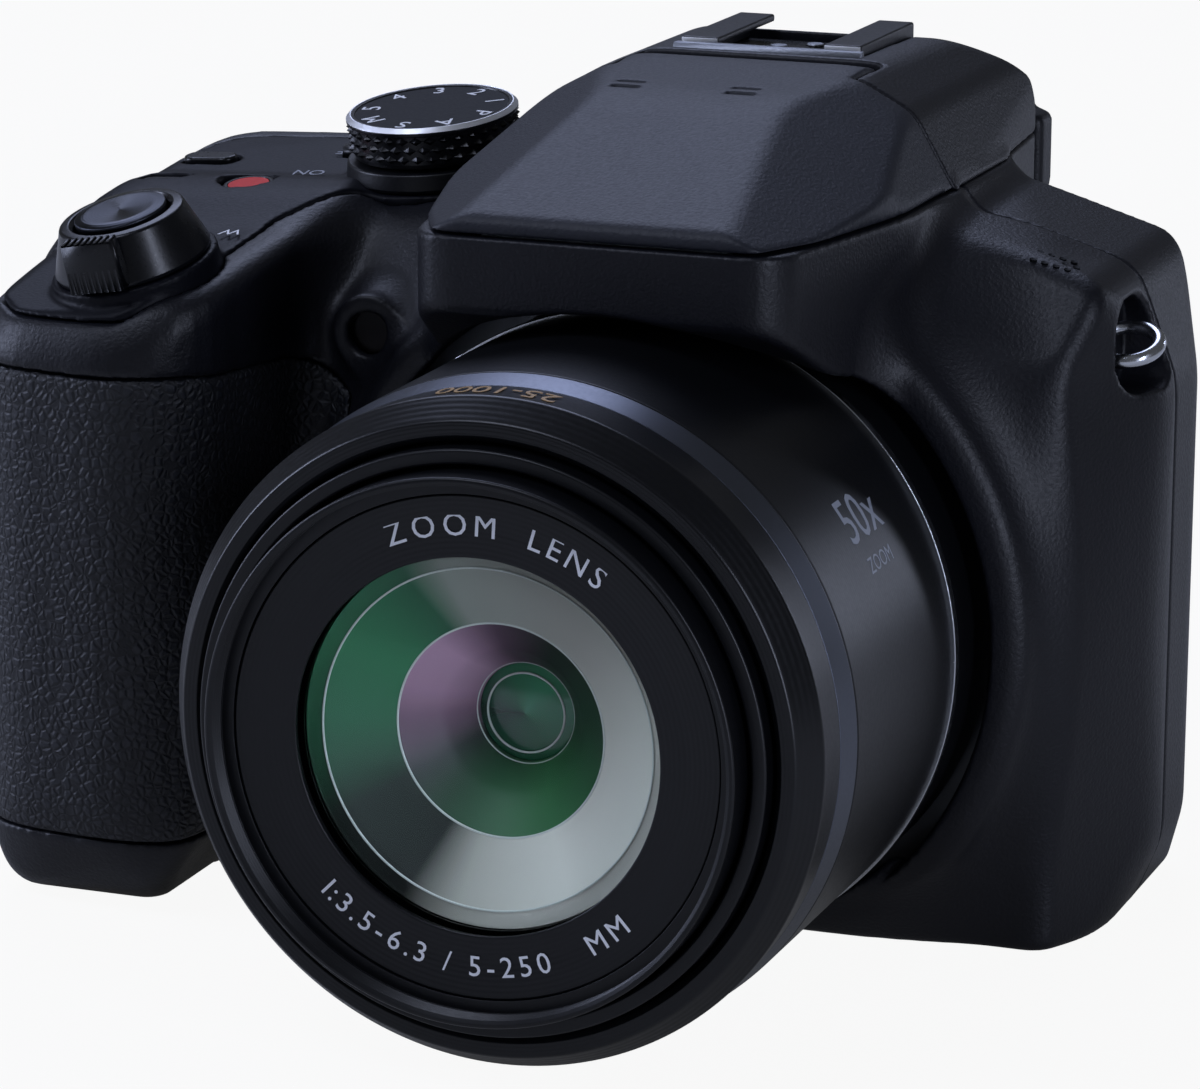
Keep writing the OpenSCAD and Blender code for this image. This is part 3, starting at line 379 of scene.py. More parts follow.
def cut(field, tool, radius=0.35):
    """A field without a tool, with the edge of the cut eased."""
    return both(field, -tool, radius)


def rod(block, axis, radius, start, end, centre):
    """A round bar along one axis."""
    along = (block.x, block.y, block.z)[axis]
    across = [(block.x, block.y, block.z)[i] for i in range(3) if i != axis]
    ring = np.sqrt((across[0] - centre[0]) ** 2 + (across[1] - centre[1]) ** 2) - radius
    return np.maximum(ring, np.abs(along - (start + end) / 2) - (end - start) / 2)


def box(block, low, high):
    """A square bar between two corners."""
    axes = (block.x, block.y, block.z)
    parts = [np.abs(p - (a + b) / 2) - (b - a) / 2 for p, a, b in zip(axes, low, high)]
    return np.maximum(np.maximum(parts[0], parts[1]), parts[2])


print("field helpers ready")

# %% [markdown]
# Outlines. The case, the grip, the hump and the deck are each given as corners with radii, in
# millimetres, the same as in the solids. Curves drawn by hand would be quicker to make, but written
# corners keep the shells on the solids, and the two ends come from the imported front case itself.

# %% Outlines
FAR = 150.0
GRIP = -node_box("front_case")[0][0]
PLAIN = node_box("front_case")[1][0]
CASE_FRONT, CASE_BACK, SEAM_Y = 14.0, 26.0, 6.0
DECK_Z, WALL = 78.0, 2.2
GRIP_FRONT, GRIP_W, FOOT_H, RUBBER_TOP, RUBBER_T = 42.0, 32.0, 9.0, 62.0, 1.2
HUMP_FRONT, HUMP_HALF, NOSE_HALF, HUMP_TOP, HUMP_BACK = 42.0, 25.8, 20.0, 93.2, 46.0
HUMP_UNDER, HUMP_SPLIT, LID_WALL = 73.2, 81.0, 1.8
SHROUD_FRONT, OPENING_R = 21.0, 37.6
DIAL_AT, SHUTTER_AT, MOVIE_AT = (-37.5, 7.5), (-59.0, -28.0), (-57.7, -0.5)
FOCUS_AT, DRIVE_AT = (-69.0, 1.0), (-68.0, 11.3)
LAMP_AT = (-36.0, 64.0)
GAP = 0.3

case_plan = [(-GRIP, -CASE_FRONT, 5), (PLAIN - 8.7, -CASE_FRONT, 4), (PLAIN, 3, 7),
             (PLAIN, CASE_BACK - 11, 9), (PLAIN - 5, CASE_BACK, 5), (10 - GRIP, CASE_BACK, 8),
             (-GRIP, CASE_BACK - 17, 14)]
case_outline = [(6 - GRIP, 0, 6), (PLAIN - 4, 0, 4), (PLAIN, 10, 8), (PLAIN, DECK_Z - 18, 10),
                (PLAIN - 5.2, DECK_Z - 4.5, 6), (HUMP_HALF, DECK_Z + 1.5, 8), (-HUMP_HALF, DECK_Z + 4, 8),
                (7 - GRIP, DECK_Z + 1, 5), (-GRIP, DECK_Z - 17, 12), (-GRIP, 13, 10)]
case_profile = [(-CASE_FRONT, -20, 3), (CASE_BACK, -20, 3), (CASE_BACK, DECK_Z + 2.5, 3),
                (9 - CASE_FRONT, DECK_Z - 1.4, 5), (-CASE_FRONT, DECK_Z - 14, 10)]
grip_plan = [(-GRIP, -10, 24), (4.2 - GRIP, 5 - GRIP_FRONT, 13), (GRIP_W - 2 - GRIP, -GRIP_FRONT, 11),
             (GRIP_W + 4 - GRIP, 0, 1), (-GRIP, 0, 1)]
grip_profile = [(19 - GRIP_FRONT, -13, 1), (8, -13, 1), (8, DECK_Z + 8, 1), (8 - GRIP_FRONT, DECK_Z + 8, 1),
                (4 - GRIP_FRONT, DECK_Z - 8, 4), (-GRIP_FRONT - 0.3, DECK_Z - 17, 8), (-GRIP_FRONT, 13, 9)]
grip_outline = [(6 - GRIP, 0, 6), (GRIP_W - 7.5 - GRIP, 0, 5), (GRIP_W + 2 - GRIP, 15, 12),
                (GRIP_W + 6 - GRIP, 90, 1), (14 - GRIP, 90, 1), (-GRIP, DECK_Z - 16, 12), (-GRIP, 13, 10)]
hump_plan = [(-NOSE_HALF, -HUMP_FRONT, 6), (NOSE_HALF, -HUMP_FRONT, 6), (HUMP_HALF, -12, 14),
             (HUMP_HALF, 14, 10), (HUMP_HALF - 3, HUMP_BACK, 5), (3 - HUMP_HALF, HUMP_BACK, 5),
             (-HUMP_HALF, 14, 10), (-HUMP_HALF, -12, 14)]
hump_outline = [(-HUMP_HALF, 60, 1), (HUMP_HALF, 60, 1), (HUMP_HALF, HUMP_TOP - 12.5, 7),
                (HUMP_HALF - 5, HUMP_TOP - 4, 6), (12.5, HUMP_TOP + 0.6, 9), (-12.5, HUMP_TOP + 0.6, 9),
                (5 - HUMP_HALF, HUMP_TOP - 4, 6), (-HUMP_HALF, HUMP_TOP - 12.5, 7)]
hump_profile = [(-HUMP_FRONT, HUMP_UNDER, 1.5), (-SHROUD_FRONT, 62, 4), (HUMP_BACK, 60, 1),
                (HUMP_BACK, HUMP_TOP - 7, 6), (36, HUMP_TOP - 0.6, 14), (6, HUMP_TOP, 40),
                (-12, HUMP_TOP - 1.4, 50), (-HUMP_FRONT, HUMP_TOP - 10.4, 2.5)]
deck_plan = [(-30, -1, 2), (-30, 21, 2), (11 - GRIP, 22, 6), (4.5 - GRIP, 10, 9),
             (4.5 - GRIP, 12 - GRIP_FRONT, 10), (12 - GRIP, 3 - GRIP_FRONT, 6),
             (27 - GRIP, 4 - GRIP_FRONT, 7), (30 - GRIP, -12, 5), (-43, -3, 4)]
DECK_TILT = (7.2, 3.0)
SHUTTER_TILT = (14.0, 9.0)
GRIP_TILT = (16.4, 9.5)
print("width", round(GRIP + PLAIN, 1))


# %% [markdown]
# Tilted places. The deck leans forwards and towards the grip, and the shutter's collar leans further.
# Each control gets a matrix that stands it on its place, so its own profile is written upright. A turned
# object would do as well, but a finished piece holds its place in its mesh.

# %% Tilted places
def deck_height(at):
    """Height of the leaning deck over a place seen from above."""
    fall, lean = (math.tan(math.radians(a)) for a in DECK_TILT)
    return DECK_Z + lean * (at[0] - DIAL_AT[0]) + fall * (at[1] - DIAL_AT[1])


def tilted(at, tilt):
    """Matrix that stands a piece on the deck, in millimetres, leaning by the two angles of tilt."""
    fall, lean = (math.radians(a) for a in tilt)
    place = Matrix.Translation((at[0], at[1], deck_height(at)))
    return place @ Matrix.Rotation(-lean, 4, "Y") @ Matrix.Rotation(fall, 4, "X")


def local(block, matrix):
    """Sample points seen from a tilted place: sideways, back and up."""
    inverse = matrix.inverted()
    return [row[0] * block.x + row[1] * block.y + row[2] * block.z + row[3] for row in inverse][:3]


on_dial = tilted(DIAL_AT, DECK_TILT)
on_shutter = tilted(SHUTTER_AT, SHUTTER_TILT)
on_grip = tilted(SHUTTER_AT, GRIP_TILT)
print("deck height at the dial", round(deck_height(DIAL_AT), 2))


# %% [markdown]
# The body is one field: the block of the case, the grip, the cowl round the lens, the boss of the lamp
# and the hump, joined one after another with round hollows. Sculpting or a subdivision cage could make
# such a form too, but here every radius is a number, and nothing pinches where many edges meet.

# %% Body field
FACET_TOP, FACET_LEAN, FACET_FALL = 99.9, 0.491, 0.227
COWL_RIM, COWL_FLARE, COWL_SCALE = 6.4, 0.43, 0.92
UNDER_UP, UNDER_OUT = 0.54, 0.84
LAMP_BOSS_R = 4.4


def hump_field(block):
    """The hump: three outlines, two leaning facets beside the lid panel, and the arch over the lens."""
    field = both(plan(hump_plan, block) - 0.3, front(hump_outline, block) - 0.3, 1.0)
    field = both(field, side(hump_profile, block) - 0.2, 1.0)
    facet = block.z - FACET_TOP + FACET_LEAN * np.abs(block.x) - FACET_FALL * block.y
    field = both(field, facet / math.hypot(1, FACET_LEAN, FACET_FALL), 0.5)
    arch = rod(block, 1, OPENING_R, -FAR, WALL - SHROUD_FRONT, (0, LENS_Z))
    return both(field, -arch, 0.8)


def body_field(block):
    """The whole moulded body, negative inside."""
    ends = front(case_outline, block)
    deck = local(block, on_dial)[2]
    main = both(both(plan(case_plan, block) - 0.4, side(case_profile, block) - 0.4, 1.6), ends - 0.1, 1.6)
    main = both(main, np.minimum(deck, -HUMP_HALF - block.x), 2.5)
    grip = both(plan(grip_plan, block) - 1.0, side(grip_profile, block) - 1.0, 4)
    grip = both(grip, np.maximum(front(grip_outline, block), ends), 3)
    grip = both(both(grip, deck, 3), local(block, on_grip)[2], 5)
    field = joined(main, grip, 7)
    reach = np.sqrt(block.x ** 2 + (block.z - LENS_Z) ** 2)
    ahead = -block.y - CASE_FRONT
    cone = (reach - OPENING_R - COWL_RIM + COWL_FLARE * ahead) * COWL_SCALE
    cowl = both(cone, -block.y - SHROUD_FRONT, 1.6)
    cowl = both(both(cowl, ends, 4), -block.z * UNDER_UP + ahead * UNDER_OUT, 3)
    cowl = np.maximum(cowl, block.y)
    field = joined(field, cowl, 7)
    lamp = rod(block, 1, LAMP_BOSS_R, -CASE_FRONT - 3, 0, LAMP_AT)
    field = joined(field, lamp, 2.5)
    field = joined(field, hump_field(block), 5)
    ends_and_base = np.maximum(-block.z, np.maximum(-GRIP - block.x, block.x - PLAIN))
    return both(field, ends_and_base, 0.8)


def shell(block, wall):
    """The body's field, and the layer of one wall's thickness under its surface."""
    outside = body_field(block)
    return outside, np.maximum(outside, -outside - wall)


probe = Block((-80, -43, -1), (52, 52, 95), 4.0)
print("body field volume", int((body_field(probe) < 0).sum() * probe.step ** 3), "mm3")


# %% [markdown]
# Pieces. Every finished object gets its material and the body that it moves with, and the solids that
# it stands for are hidden. Normals are weighted by face area, which a Weighted Normal modifier could
# do too, but a finished piece carries no modifier.

# %% Pieces
def weighted_normals(mesh):
    """Vertex normals weighted by face area, so that flats stay flat beside small rounds."""
    count = len(mesh.vertices)
    mesh.calc_loop_triangles()
    triangles = np.empty(len(mesh.loop_triangles) * 3, np.int32)
    mesh.loop_triangles.foreach_get("vertices", triangles)
    triangles = triangles.reshape(-1, 3)
    points = np.empty(count * 3, np.float32)
    mesh.vertices.foreach_get("co", points)
    points = points.reshape(-1, 3)
    a, b, c = (points[triangles[:, i]] for i in range(3))
    across = np.cross(b - a, c - a)
    normals = np.zeros((count, 3))
    for i in range(3):
        np.add.at(normals, triangles[:, i], across)
    lengths = np.linalg.norm(normals, axis=1, keepdims=True)
    mesh.normals_split_custom_set_from_vertices(normals / np.maximum(lengths, 1e-20))


def settle(piece, body, material, replaced=()):
    """Gives a finished piece its material and its place in the assembly."""
    piece.data.materials.clear()
    for one in material if isinstance(material, (list, tuple)) else [material]:
        piece.data.materials.append(one)
    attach(piece, body)
    if replaced:
        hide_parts(*replaced)
    return piece


def new_piece(name, points, faces):
    """An object whose mesh is given in millimetres."""
    mesh = bpy.data.meshes.new(name)
    mesh.from_pydata((np.asarray(points, float) * MM).tolist(), [], [list(map(int, f)) for f in faces])
    mesh.validate()
    mesh.shade_smooth()
    piece = bpy.data.objects.new(name, mesh)
    scene.collection.objects.link(piece)
    return piece


print("piece helpers ready")


# %% [markdown]
# Skins. A field becomes an object here: OpenVDB turns the sampled distances into quads, and Decimate
# thins what is denser than it needs to be. A Remesh modifier could also give a skin, but it would start
# from a mesh that first had to be made.

# %% Skins
def evaluated_mesh(piece):
    """A plain mesh of a piece with its modifiers applied."""
    graph = bpy.context.evaluated_depsgraph_get()
    mesh = bpy.data.meshes.new_from_object(piece.evaluated_get(graph))
    mesh.name = piece.name
    return mesh


def skin(name, field, block, most=180000):
    """The surface of a field as a piece, thinned where it has more triangles than it needs."""
    grid = openvdb.FloatGrid(10.0)
    grid.copyFromArray(np.ascontiguousarray(np.clip(field, -4 * block.step, 4 * block.step)))
    points, quads = grid.convertToQuads(isovalue=0.0)
    points = points * block.step + np.array(block.low)
    mesh = bpy.data.meshes.new(name)
    mesh.vertices.add(len(points))
    mesh.vertices.foreach_set("co", (points * MM).astype(np.float32).ravel())
    mesh.loops.add(quads.size)
    mesh.loops.foreach_set("vertex_index", quads[:, ::-1].astype(np.int32).ravel())
    mesh.polygons.add(len(quads))
    mesh.polygons.foreach_set("loop_start", np.arange(0, quads.size, 4, dtype=np.int32))
    mesh.update(calc_edges=True)
    mesh.validate()
    mesh.shade_smooth()
    piece = bpy.data.objects.new(name, mesh)
    scene.collection.objects.link(piece)
    triangles = 2 * len(quads)
    if triangles > most:
        thin = piece.modifiers.new("thin", "DECIMATE")
        thin.ratio = most / triangles
        piece.data = evaluated_mesh(piece)
        piece.modifiers.clear()
        bpy.data.meshes.remove(mesh)
    print(name, "triangles", triangles, "kept", min(triangles, most))
    return piece


print("skin helpers ready")

# %% [markdown]
# The front case carries the grip, the cowl round the lens and the lower half of the hump. The rubber
# grip cover, the deck panel, the two doors and the strap pockets are let into it. Booleans on meshes
# would leave slivers along such curved rims, so each opening is a field that is taken away.

# %% Case tools
DOOR_T = WALL - 0.2
door_low, door_high = node_box("battery_door")
DOOR_STEP = (door_low[0] + 16.0, 2 - CASE_FRONT)
port_low, port_high = node_box("terminal_door")
PORT_HINGE, HINGE_CLEAR = (DOOR_T / 2 - GRIP, port_high[1] - DOOR_T / 2), DOOR_T / 2 + 0.8
EYELETS = [((PLAIN - 4.6, 0, 66), 1), ((4.6 - GRIP, -3, 60), -1)]
DECK_DEPTH, COLLAR_DROP = 3.5, 4.0
DIAL_R, LEVER_H, ZOOM_R = 10.0, 2.2, 8.8
COLLARS = [(on_dial, DIAL_R + 0.9), (on_shutter, ZOOM_R + 0.6)]


def deck_room(block, deck):
    """The space of the deck panel with its two collars."""
    field = np.maximum(plan(deck_plan, block), -deck - DECK_DEPTH)
    for place, radius in COLLARS:
        across, back, up = local(block, place)
        field = np.minimum(field, np.maximum(np.sqrt(across ** 2 + back ** 2) - radius, -up - COLLAR_DROP))
    return field


def rubber_room(block, outside):
    """The skin of the grip that the rubber fills: its top edge dips where it nears the lens."""
    dip = 5.5 * np.clip((block.x + 52) / 14, 0, 1) ** 2
    high = block.z - RUBBER_TOP + dip
    low = FOOT_H - block.z
    edge = np.maximum(np.maximum(high, low), np.maximum(block.x + 38.2, block.y + 12.5))
    return np.maximum(edge, -outside - RUBBER_T)


def battery_room(block, grow):
    """The opening of the battery door: a long part, and a short one beside it."""
    back, top = door_high[1] + grow, WALL + 1
    wide = box(block, (door_low[0] - grow, door_low[1] - grow, -2), (DOOR_STEP[0] + grow, back, top))
    rear = box(block, (DOOR_STEP[0] - 1, DOOR_STEP[1] - grow, -2), (door_high[0] + grow, back, top))
    return np.minimum(wide, rear)


def port_room(block, grow):
    """The opening of the terminal door in the grip's end."""
    return box(block, (port_low[0] - 3, port_low[1] - grow, port_low[2] - grow),
               (port_high[0] + 2, port_high[1] + grow, port_high[2] + grow))


def strap_room(block):
    """The two pockets in which the strap eyelets stand."""
    field = FAR
    for (x, y, z), way in EYELETS:
        inner, outer = x - way * 1.8, x + way * 9
        far_y, far_z = np.maximum(np.abs(block.y - y) - 1.6, 0), np.maximum(np.abs(block.z - z) - 1.2, 0)
        pocket = np.sqrt(far_y ** 2 + far_z ** 2) - 3.8
        reach = np.maximum(min(inner, outer) - block.x, block.x - max(inner, outer))
        field = np.minimum(field, np.maximum(pocket, reach))
    return field


def strap_wall(block, outside):
    """Bosses behind the strap pockets."""
    field = FAR
    for (x, y, z), way in EYELETS:
        inner, outer = x - way * 4.5, x + way * 9
        boss = box(block, (min(inner, outer), y - 8, z - 7), (max(inner, outer), y + 8, z + 7))
        field = np.minimum(field, np.maximum(boss, outside))
    return field


print("battery door", np.round(door_high - door_low, 1), "terminal door", np.round(port_high - port_low, 1))

# %% [markdown]
# The front half is a wall of even thickness under the outer surface, cut at the parting line and then
# opened for the lens, the deck panel, the rubber, the lamp, the doors, the strap pockets and the screws.
# A Solidify modifier could give the wall, but here it is simply the layer between two distances.

# %% Front case
STEP = 0.42
SCREW_R, LAMP_R, LENS_BORE_R, SOCKET_R = 1.9, 2.4, 36.2, 4.8
block = Block((-81, -44, -1.2), (52, SEAM_Y + 0.8, HUMP_SPLIT + 0.8), STEP)
outside, front_case = shell(block, WALL)
front_case = np.minimum(front_case, strap_wall(block, outside))
front_case = both(front_case, block.y - SEAM_Y, 0.3)
front_case = both(front_case, block.z - HUMP_SPLIT, 0.5)
bore = rod(block, 1, OPENING_R, -FAR, WALL - SHROUD_FRONT, (0, LENS_Z))
front_case = cut(front_case, bore, 0.5)
front_case = cut(front_case, rod(block, 1, LENS_BORE_R, -FAR, 0, (0, LENS_Z)), 0.3)
front_case = cut(front_case, deck_room(block, local(block, on_dial)[2]) - 0.12, 0.45)
front_case = cut(front_case, rubber_room(block, outside) - 0.1, 0.3)
front_case = cut(front_case, rod(block, 1, LAMP_R, -FAR, 0, LAMP_AT), 0.5)
front_case = cut(front_case, battery_room(block, GAP))
front_case = cut(front_case, port_room(block, GAP))
hinge_room = rod(block, 2, HINGE_CLEAR, port_low[2] - GAP, port_high[2] + GAP, PORT_HINGE)
front_case = cut(front_case, hinge_room, 0.2)
front_case = cut(front_case, strap_room(block), 0.6)
front_case = cut(front_case, rod(block, 2, SOCKET_R, -2, 8, (0, 0)))
SCREWS = [(20, -10), (37, -10), (-24, -10), (37, 19), (39.5 - GRIP, 19), (13.5 - GRIP, 16)]
for at in SCREWS[:3]:
    front_case = cut(front_case, rod(block, 2, SCREW_R, -2, 1.3, at), 0.2)
settle(skin("front_case_shell", front_case, block), "case", case_plastic, ["front_case"])

# %% [markdown]
# The rubber of the grip lies in a recess of the front case. It reads the same field a hair lower, so a
# fine line shows all round it, as on a part that is glued in. A patch shrink-wrapped on the grip would
# need care along its whole rim.

# %% Rubber
block = Block((-81, -44, FOOT_H - 1), (-37, -11.5, RUBBER_TOP + 1.5), 0.5)
outside = body_field(block)
cover = both(outside + 0.06, rubber_room(block, outside) + 0.12, 0.35)
settle(skin("grip_rubber_cover", cover, block), "case", rubber, ["grip_rubber"])

# %% [markdown]
# The rear half closes the body and holds the screen, the finder and the keys. The places and sizes of
# its openings come from the boxes of the solids that sit in them, so the gaps round them are even. The
# openings could be drawn by hand as well, but then they would not follow when a solid moves.

# %% Rear case
SCREEN_GAP, KNOB_HOLE_R, KNOB_HOLE_AT = 0.25, 4.3, (37, 76)
block = Block((-81, SEAM_Y - 0.8, -1.2), (52, 47.2, HUMP_SPLIT + 0.8), STEP)
outside, rear_case = shell(block, WALL)
rear_case = np.minimum(rear_case, strap_wall(block, outside))
rear_case = both(rear_case, SEAM_Y + 0.12 - block.y, 0.3)
rear_case = both(rear_case, block.z - HUMP_SPLIT, 0.5)
rear_case = cut(rear_case, deck_room(block, local(block, on_dial)[2]) - 0.12, 0.45)
rear_case = cut(rear_case, battery_room(block, GAP))
rear_case = cut(rear_case, strap_room(block), 0.6)
for at in SCREWS[3:]:
    rear_case = cut(rear_case, rod(block, 2, SCREW_R, -2, 1.3, at), 0.2)


def back_window(block, name, grow, start):
    """Room behind a rectangular piece in the back wall."""
    low, high = node_box(name)
    return box(block, (low[0] - grow, start, low[2] - grow), (high[0] + grow, FAR, high[2] + grow))


def back_round(name):
    """Middle and radius of a round piece in the back wall, seen from behind."""
    low, high = node_box(name)
    return ((low[0] + high[0]) / 2, (low[2] + high[2]) / 2), (high[0] - low[0]) / 2


BACK_BUTTONS = ["play_button", "display_button", "delete_button", "viewfinder_button", "flash_button"]
rear_case = cut(rear_case, back_window(block, "screen_glass", SCREEN_GAP, CASE_BACK - WALL - 3))
rear_case = cut(rear_case, back_window(block, "eyepiece_lens", 0.2, 30))
rear_case = cut(rear_case, back_window(block, "rear_dial", GAP, CASE_BACK - WALL - 4))
for name in BACK_BUTTONS + ["cursor_pad"]:
    middle, radius = back_round(name)
    rear_case = cut(rear_case, rod(block, 1, radius + GAP, CASE_BACK - 8, FAR, middle))
rear_case = cut(rear_case, rod(block, 0, KNOB_HOLE_R, -FAR, -15, KNOB_HOLE_AT))
# The hump hangs over the screen, so a floor above the screen's top edge closes it from below.
SCREEN_TOP = node_box("screen_glass")[1][2] + SCREEN_GAP
hump_floor = box(block, (-HUMP_HALF, CASE_BACK - WALL - 3, SCREEN_TOP),
                 (HUMP_HALF, FAR, SCREEN_TOP + WALL))
rear_case = np.minimum(rear_case, np.maximum(hump_floor, outside))
settle(skin("rear_case_shell", rear_case, block), "case", case_plastic, ["rear_case"])

# %% [markdown]
# The hump is cut into the flash lid in front and the finder cover behind. Both read the same body
# field as the cases, so that the surface runs on across every parting line. One finished mesh cut in
# two would have open rims, while two fields give each part its own wall and eased edges.

# %% Flash lid
HINGE_Y, HINGE_Z, LID_R, JOG_Y, LID_TAIL = 8.0, 88.6, 4.5, 2.0, 14.0
SHOE_FLOOR, SHOE_HALF, SHOE_FRONT, SHOE_L = 91.4, 10.7, 15.0, 20.0


def lid_room(block, grow):
    """The space of the flash lid, which turns about its hinge at the back."""
    nose = np.maximum(HUMP_SPLIT + GAP - grow - block.z, block.y - JOG_Y - grow)
    tail = np.maximum(np.maximum(HINGE_Z - 1 - grow - block.z, block.y - HINGE_Y), -block.y)
    drum = np.sqrt((block.y - HINGE_Y) ** 2 + (block.z - HINGE_Z) ** 2) - LID_R - grow
    return np.minimum(nose, np.maximum(np.minimum(tail, drum), np.abs(block.x) - LID_TAIL - grow))


def ears(block, near, far):
    """Lugs on the hinge line, one on each side."""
    reach = np.maximum(near - np.abs(block.x), np.abs(block.x) - far)
    return np.maximum(np.sqrt((block.y - HINGE_Y) ** 2 + (block.z - HINGE_Z) ** 2) - 2.1, reach)


block = Block((-31, -43.4, 80.4), (31, 13.4, 94.4), 0.36)
outside, lid = shell(block, LID_WALL)
lid = both(lid, lid_room(block, 0), 0.45)
stem = box(block, (-11, HINGE_Y - 5, HINGE_Z), (11, HINGE_Y, 94))
stem = np.maximum(stem, 9 - np.abs(block.x))
lid = np.minimum(lid, np.maximum(np.minimum(ears(block, 9, 11), stem), outside + 0.9))
lid = cut(lid, rod(block, 0, 1.15, -FAR, FAR, (HINGE_Y, HINGE_Z)), 0.1)
for x in (-8.7, 4.6):
    for y in (-8.6, -6.6):
        slit = box(block, (x - 1.6, y - 0.3, 85), (x + 1.6, y + 0.3, 95))
        lid = cut(lid, np.maximum(slit, -outside - 0.7), 0.1)
settle(skin("flash_lid_shell", lid, block), "flash_unit", lid_plastic_painted_light, ["flash_lid"])

# %% [markdown]
# The cover behind the lid holds the accessory shoe and closes the finder from above. It has room for
# the lid's tail, which turns down into it when the flash comes up. The room is the lid's own field, a
# gap larger, so the two can't touch.

# %% Hump cover
block = Block((-31, JOG_Y - 0.6, 80.4), (31, 47.2, 94.4), 0.36)
outside, cover = shell(block, LID_WALL)
cover = both(cover, np.maximum(JOG_Y - block.y, HUMP_SPLIT + 0.1 - block.z), 0.3)
slab = box(block, (-SHOE_HALF - 2, SHOE_FRONT - 2, SHOE_FLOOR - 2),
           (SHOE_HALF + 2, SHOE_FRONT + SHOE_L + 2, SHOE_FLOOR + 0.5))
cover = np.minimum(cover, np.maximum(slab, outside))
cover = cut(cover, lid_room(block, GAP), 0.3)
tail_slot = box(block, (-LID_TAIL - GAP, HINGE_Y - 1, HINGE_Z + 2.5),
                (LID_TAIL + GAP, HINGE_Y + LID_R - 0.6, FAR))
cover = cut(cover, tail_slot, 0.3)
cover = cut(cover, box(block, (-SHOE_HALF - 0.1, SHOE_FRONT - 0.1, SHOE_FLOOR - 1),
                       (SHOE_HALF + 0.1, SHOE_FRONT + SHOE_L + 0.1, FAR)), 0.2)
cover = cut(cover, back_window(block, "eyepiece_lens", 0.2, 30))
settle(skin("hump_cover_shell", cover, block), "case", case_plastic, ["hump_cover"])

# %% [markdown]
# The deck panel follows the leaning deck and carries the collars of the two round controls. It could be
# a copy of the case's top faces, but the shared field keeps an even line round the panel.

# %% Deck panel
block = Block((-81, -44, 60), (-28, 24, 84), 0.32)
outside, panel = shell(block, WALL)
deck = local(block, on_dial)[2]
panel = both(panel - 0.12, np.maximum(plan(deck_plan, block), -deck - DECK_DEPTH) + 0.12, 0.4)
HUBS = [(5.0, 0.3 + GAP + LEVER_H, 3.05), (6.2, 3.5, 2.05)]
for (place, radius), (hub, tall, hole) in zip(COLLARS, HUBS):
    across, back, up = local(block, place)
    ring = np.sqrt(across ** 2 + back ** 2)
    collar = both(ring - radius, np.maximum(up - 0.3, -up - COLLAR_DROP), 0.25)
    panel = joined(panel, collar, 0.8)
    panel = np.minimum(panel, np.maximum(ring - hub, np.maximum(up - tall, -up)))
    panel = cut(panel, ring - hole, 0.1)
across, back = local(block, tilted(MOVIE_AT, DECK_TILT))[:2]
panel = cut(panel, np.sqrt(across ** 2 + back ** 2) - 3.5, 0.3)
for at in (FOCUS_AT, DRIVE_AT):
    across, back = local(block, tilted(at, DECK_TILT))[:2]
    slot_hole = np.sqrt(np.maximum(np.abs(across) - 1.7, 0) ** 2 + back ** 2) - 1.9
    panel = cut(panel, slot_hole, 0.35)
settle(skin("deck_panel", panel, block), "case", panel_plastic, ["top_panel"])

# %% [markdown]
# The battery door in the base and the terminal door in the grip's end are cut from the body's own
# surface, so that they close flush. A plain plate would stand off the curved end.

# %% Doors
block = Block((door_low[0] - 1, door_low[1] - 1, -1), (door_high[0] + 1, door_high[1] + 1, 3), 0.3)
outside = body_field(block)
lid_plate = both(both(outside, battery_room(block, 0), 0.35), block.z - DOOR_T, 0.3)
latch_room = box(block, (door_low[0] + 2.7, -9.8, -2), (door_low[0] + 10.3, -1.2, DOOR_T - 0.8))
lid_plate = cut(lid_plate, latch_room, 0.15)
settle(skin("battery_door_plate", lid_plate, block), "battery_door", case_plastic,
       ["battery_door"])

block = Block(port_low - 1, port_high + 1, 0.3)
outside = body_field(block)
flap = both(outside, port_room(block, 0), 0.4)
flap = both(flap, np.maximum(-outside - DOOR_T, block.x - port_high[0]), 0.3)
settle(skin("terminal_flap", flap, block), "terminal_door", case_plastic, ["terminal_door"])

# %% [markdown]
# The thumb rest and the eyecup are soft mouldings on the back. Bevelled boxes could stand for them, but
# an outline with its own radius at each corner gives the swollen edge that rubber has.

# %% Thumb rest and eyecup
rest_low, rest_high = node_box("thumb_rest")
block = Block(rest_low - 1, rest_high + 1, 0.35)
rest_outline = [(10 - GRIP, 41, 3), (26.5 - GRIP, 41, 3), (28.5 - GRIP, 50, 3), (26.5 - GRIP, 58, 3),
                (10 - GRIP, 58, 3)]
rest = both(front(rest_outline, block), np.maximum(block.y - rest_high[1], rest_low[1] - block.y), 1.6)
settle(skin("thumb_rest_pad", rest, block), "case", rubber, ["thumb_rest"])

cup_low, cup_high = node_box("eyecup")
CUP_SIDE = 23.2
block = Block(cup_low - 1, (CUP_SIDE + 1, cup_high[1] + 1, cup_high[2] + 1), 0.35)
eye_z = (cup_low[2] + cup_high[2]) / 2 + 0.75
cup_outline = [(-21, eye_z - 10, 5), (CUP_SIDE, eye_z - 10, 5), (CUP_SIDE, eye_z + 2.6, 1.2),
               (21, eye_z + 3.4, 0.8), (21, eye_z + 8.5, 5), (-21, eye_z + 8.5, 6)]
cup = both(front(cup_outline, block), np.maximum(block.y - cup_high[1], cup_low[1] - block.y), 1.2)
cup = cut(cup, back_window(block, "eyepiece_lens", -0.6, 40), 1.8)
settle(skin("eyecup_moulding", cup, block), "case", case_plastic, ["eyecup"])

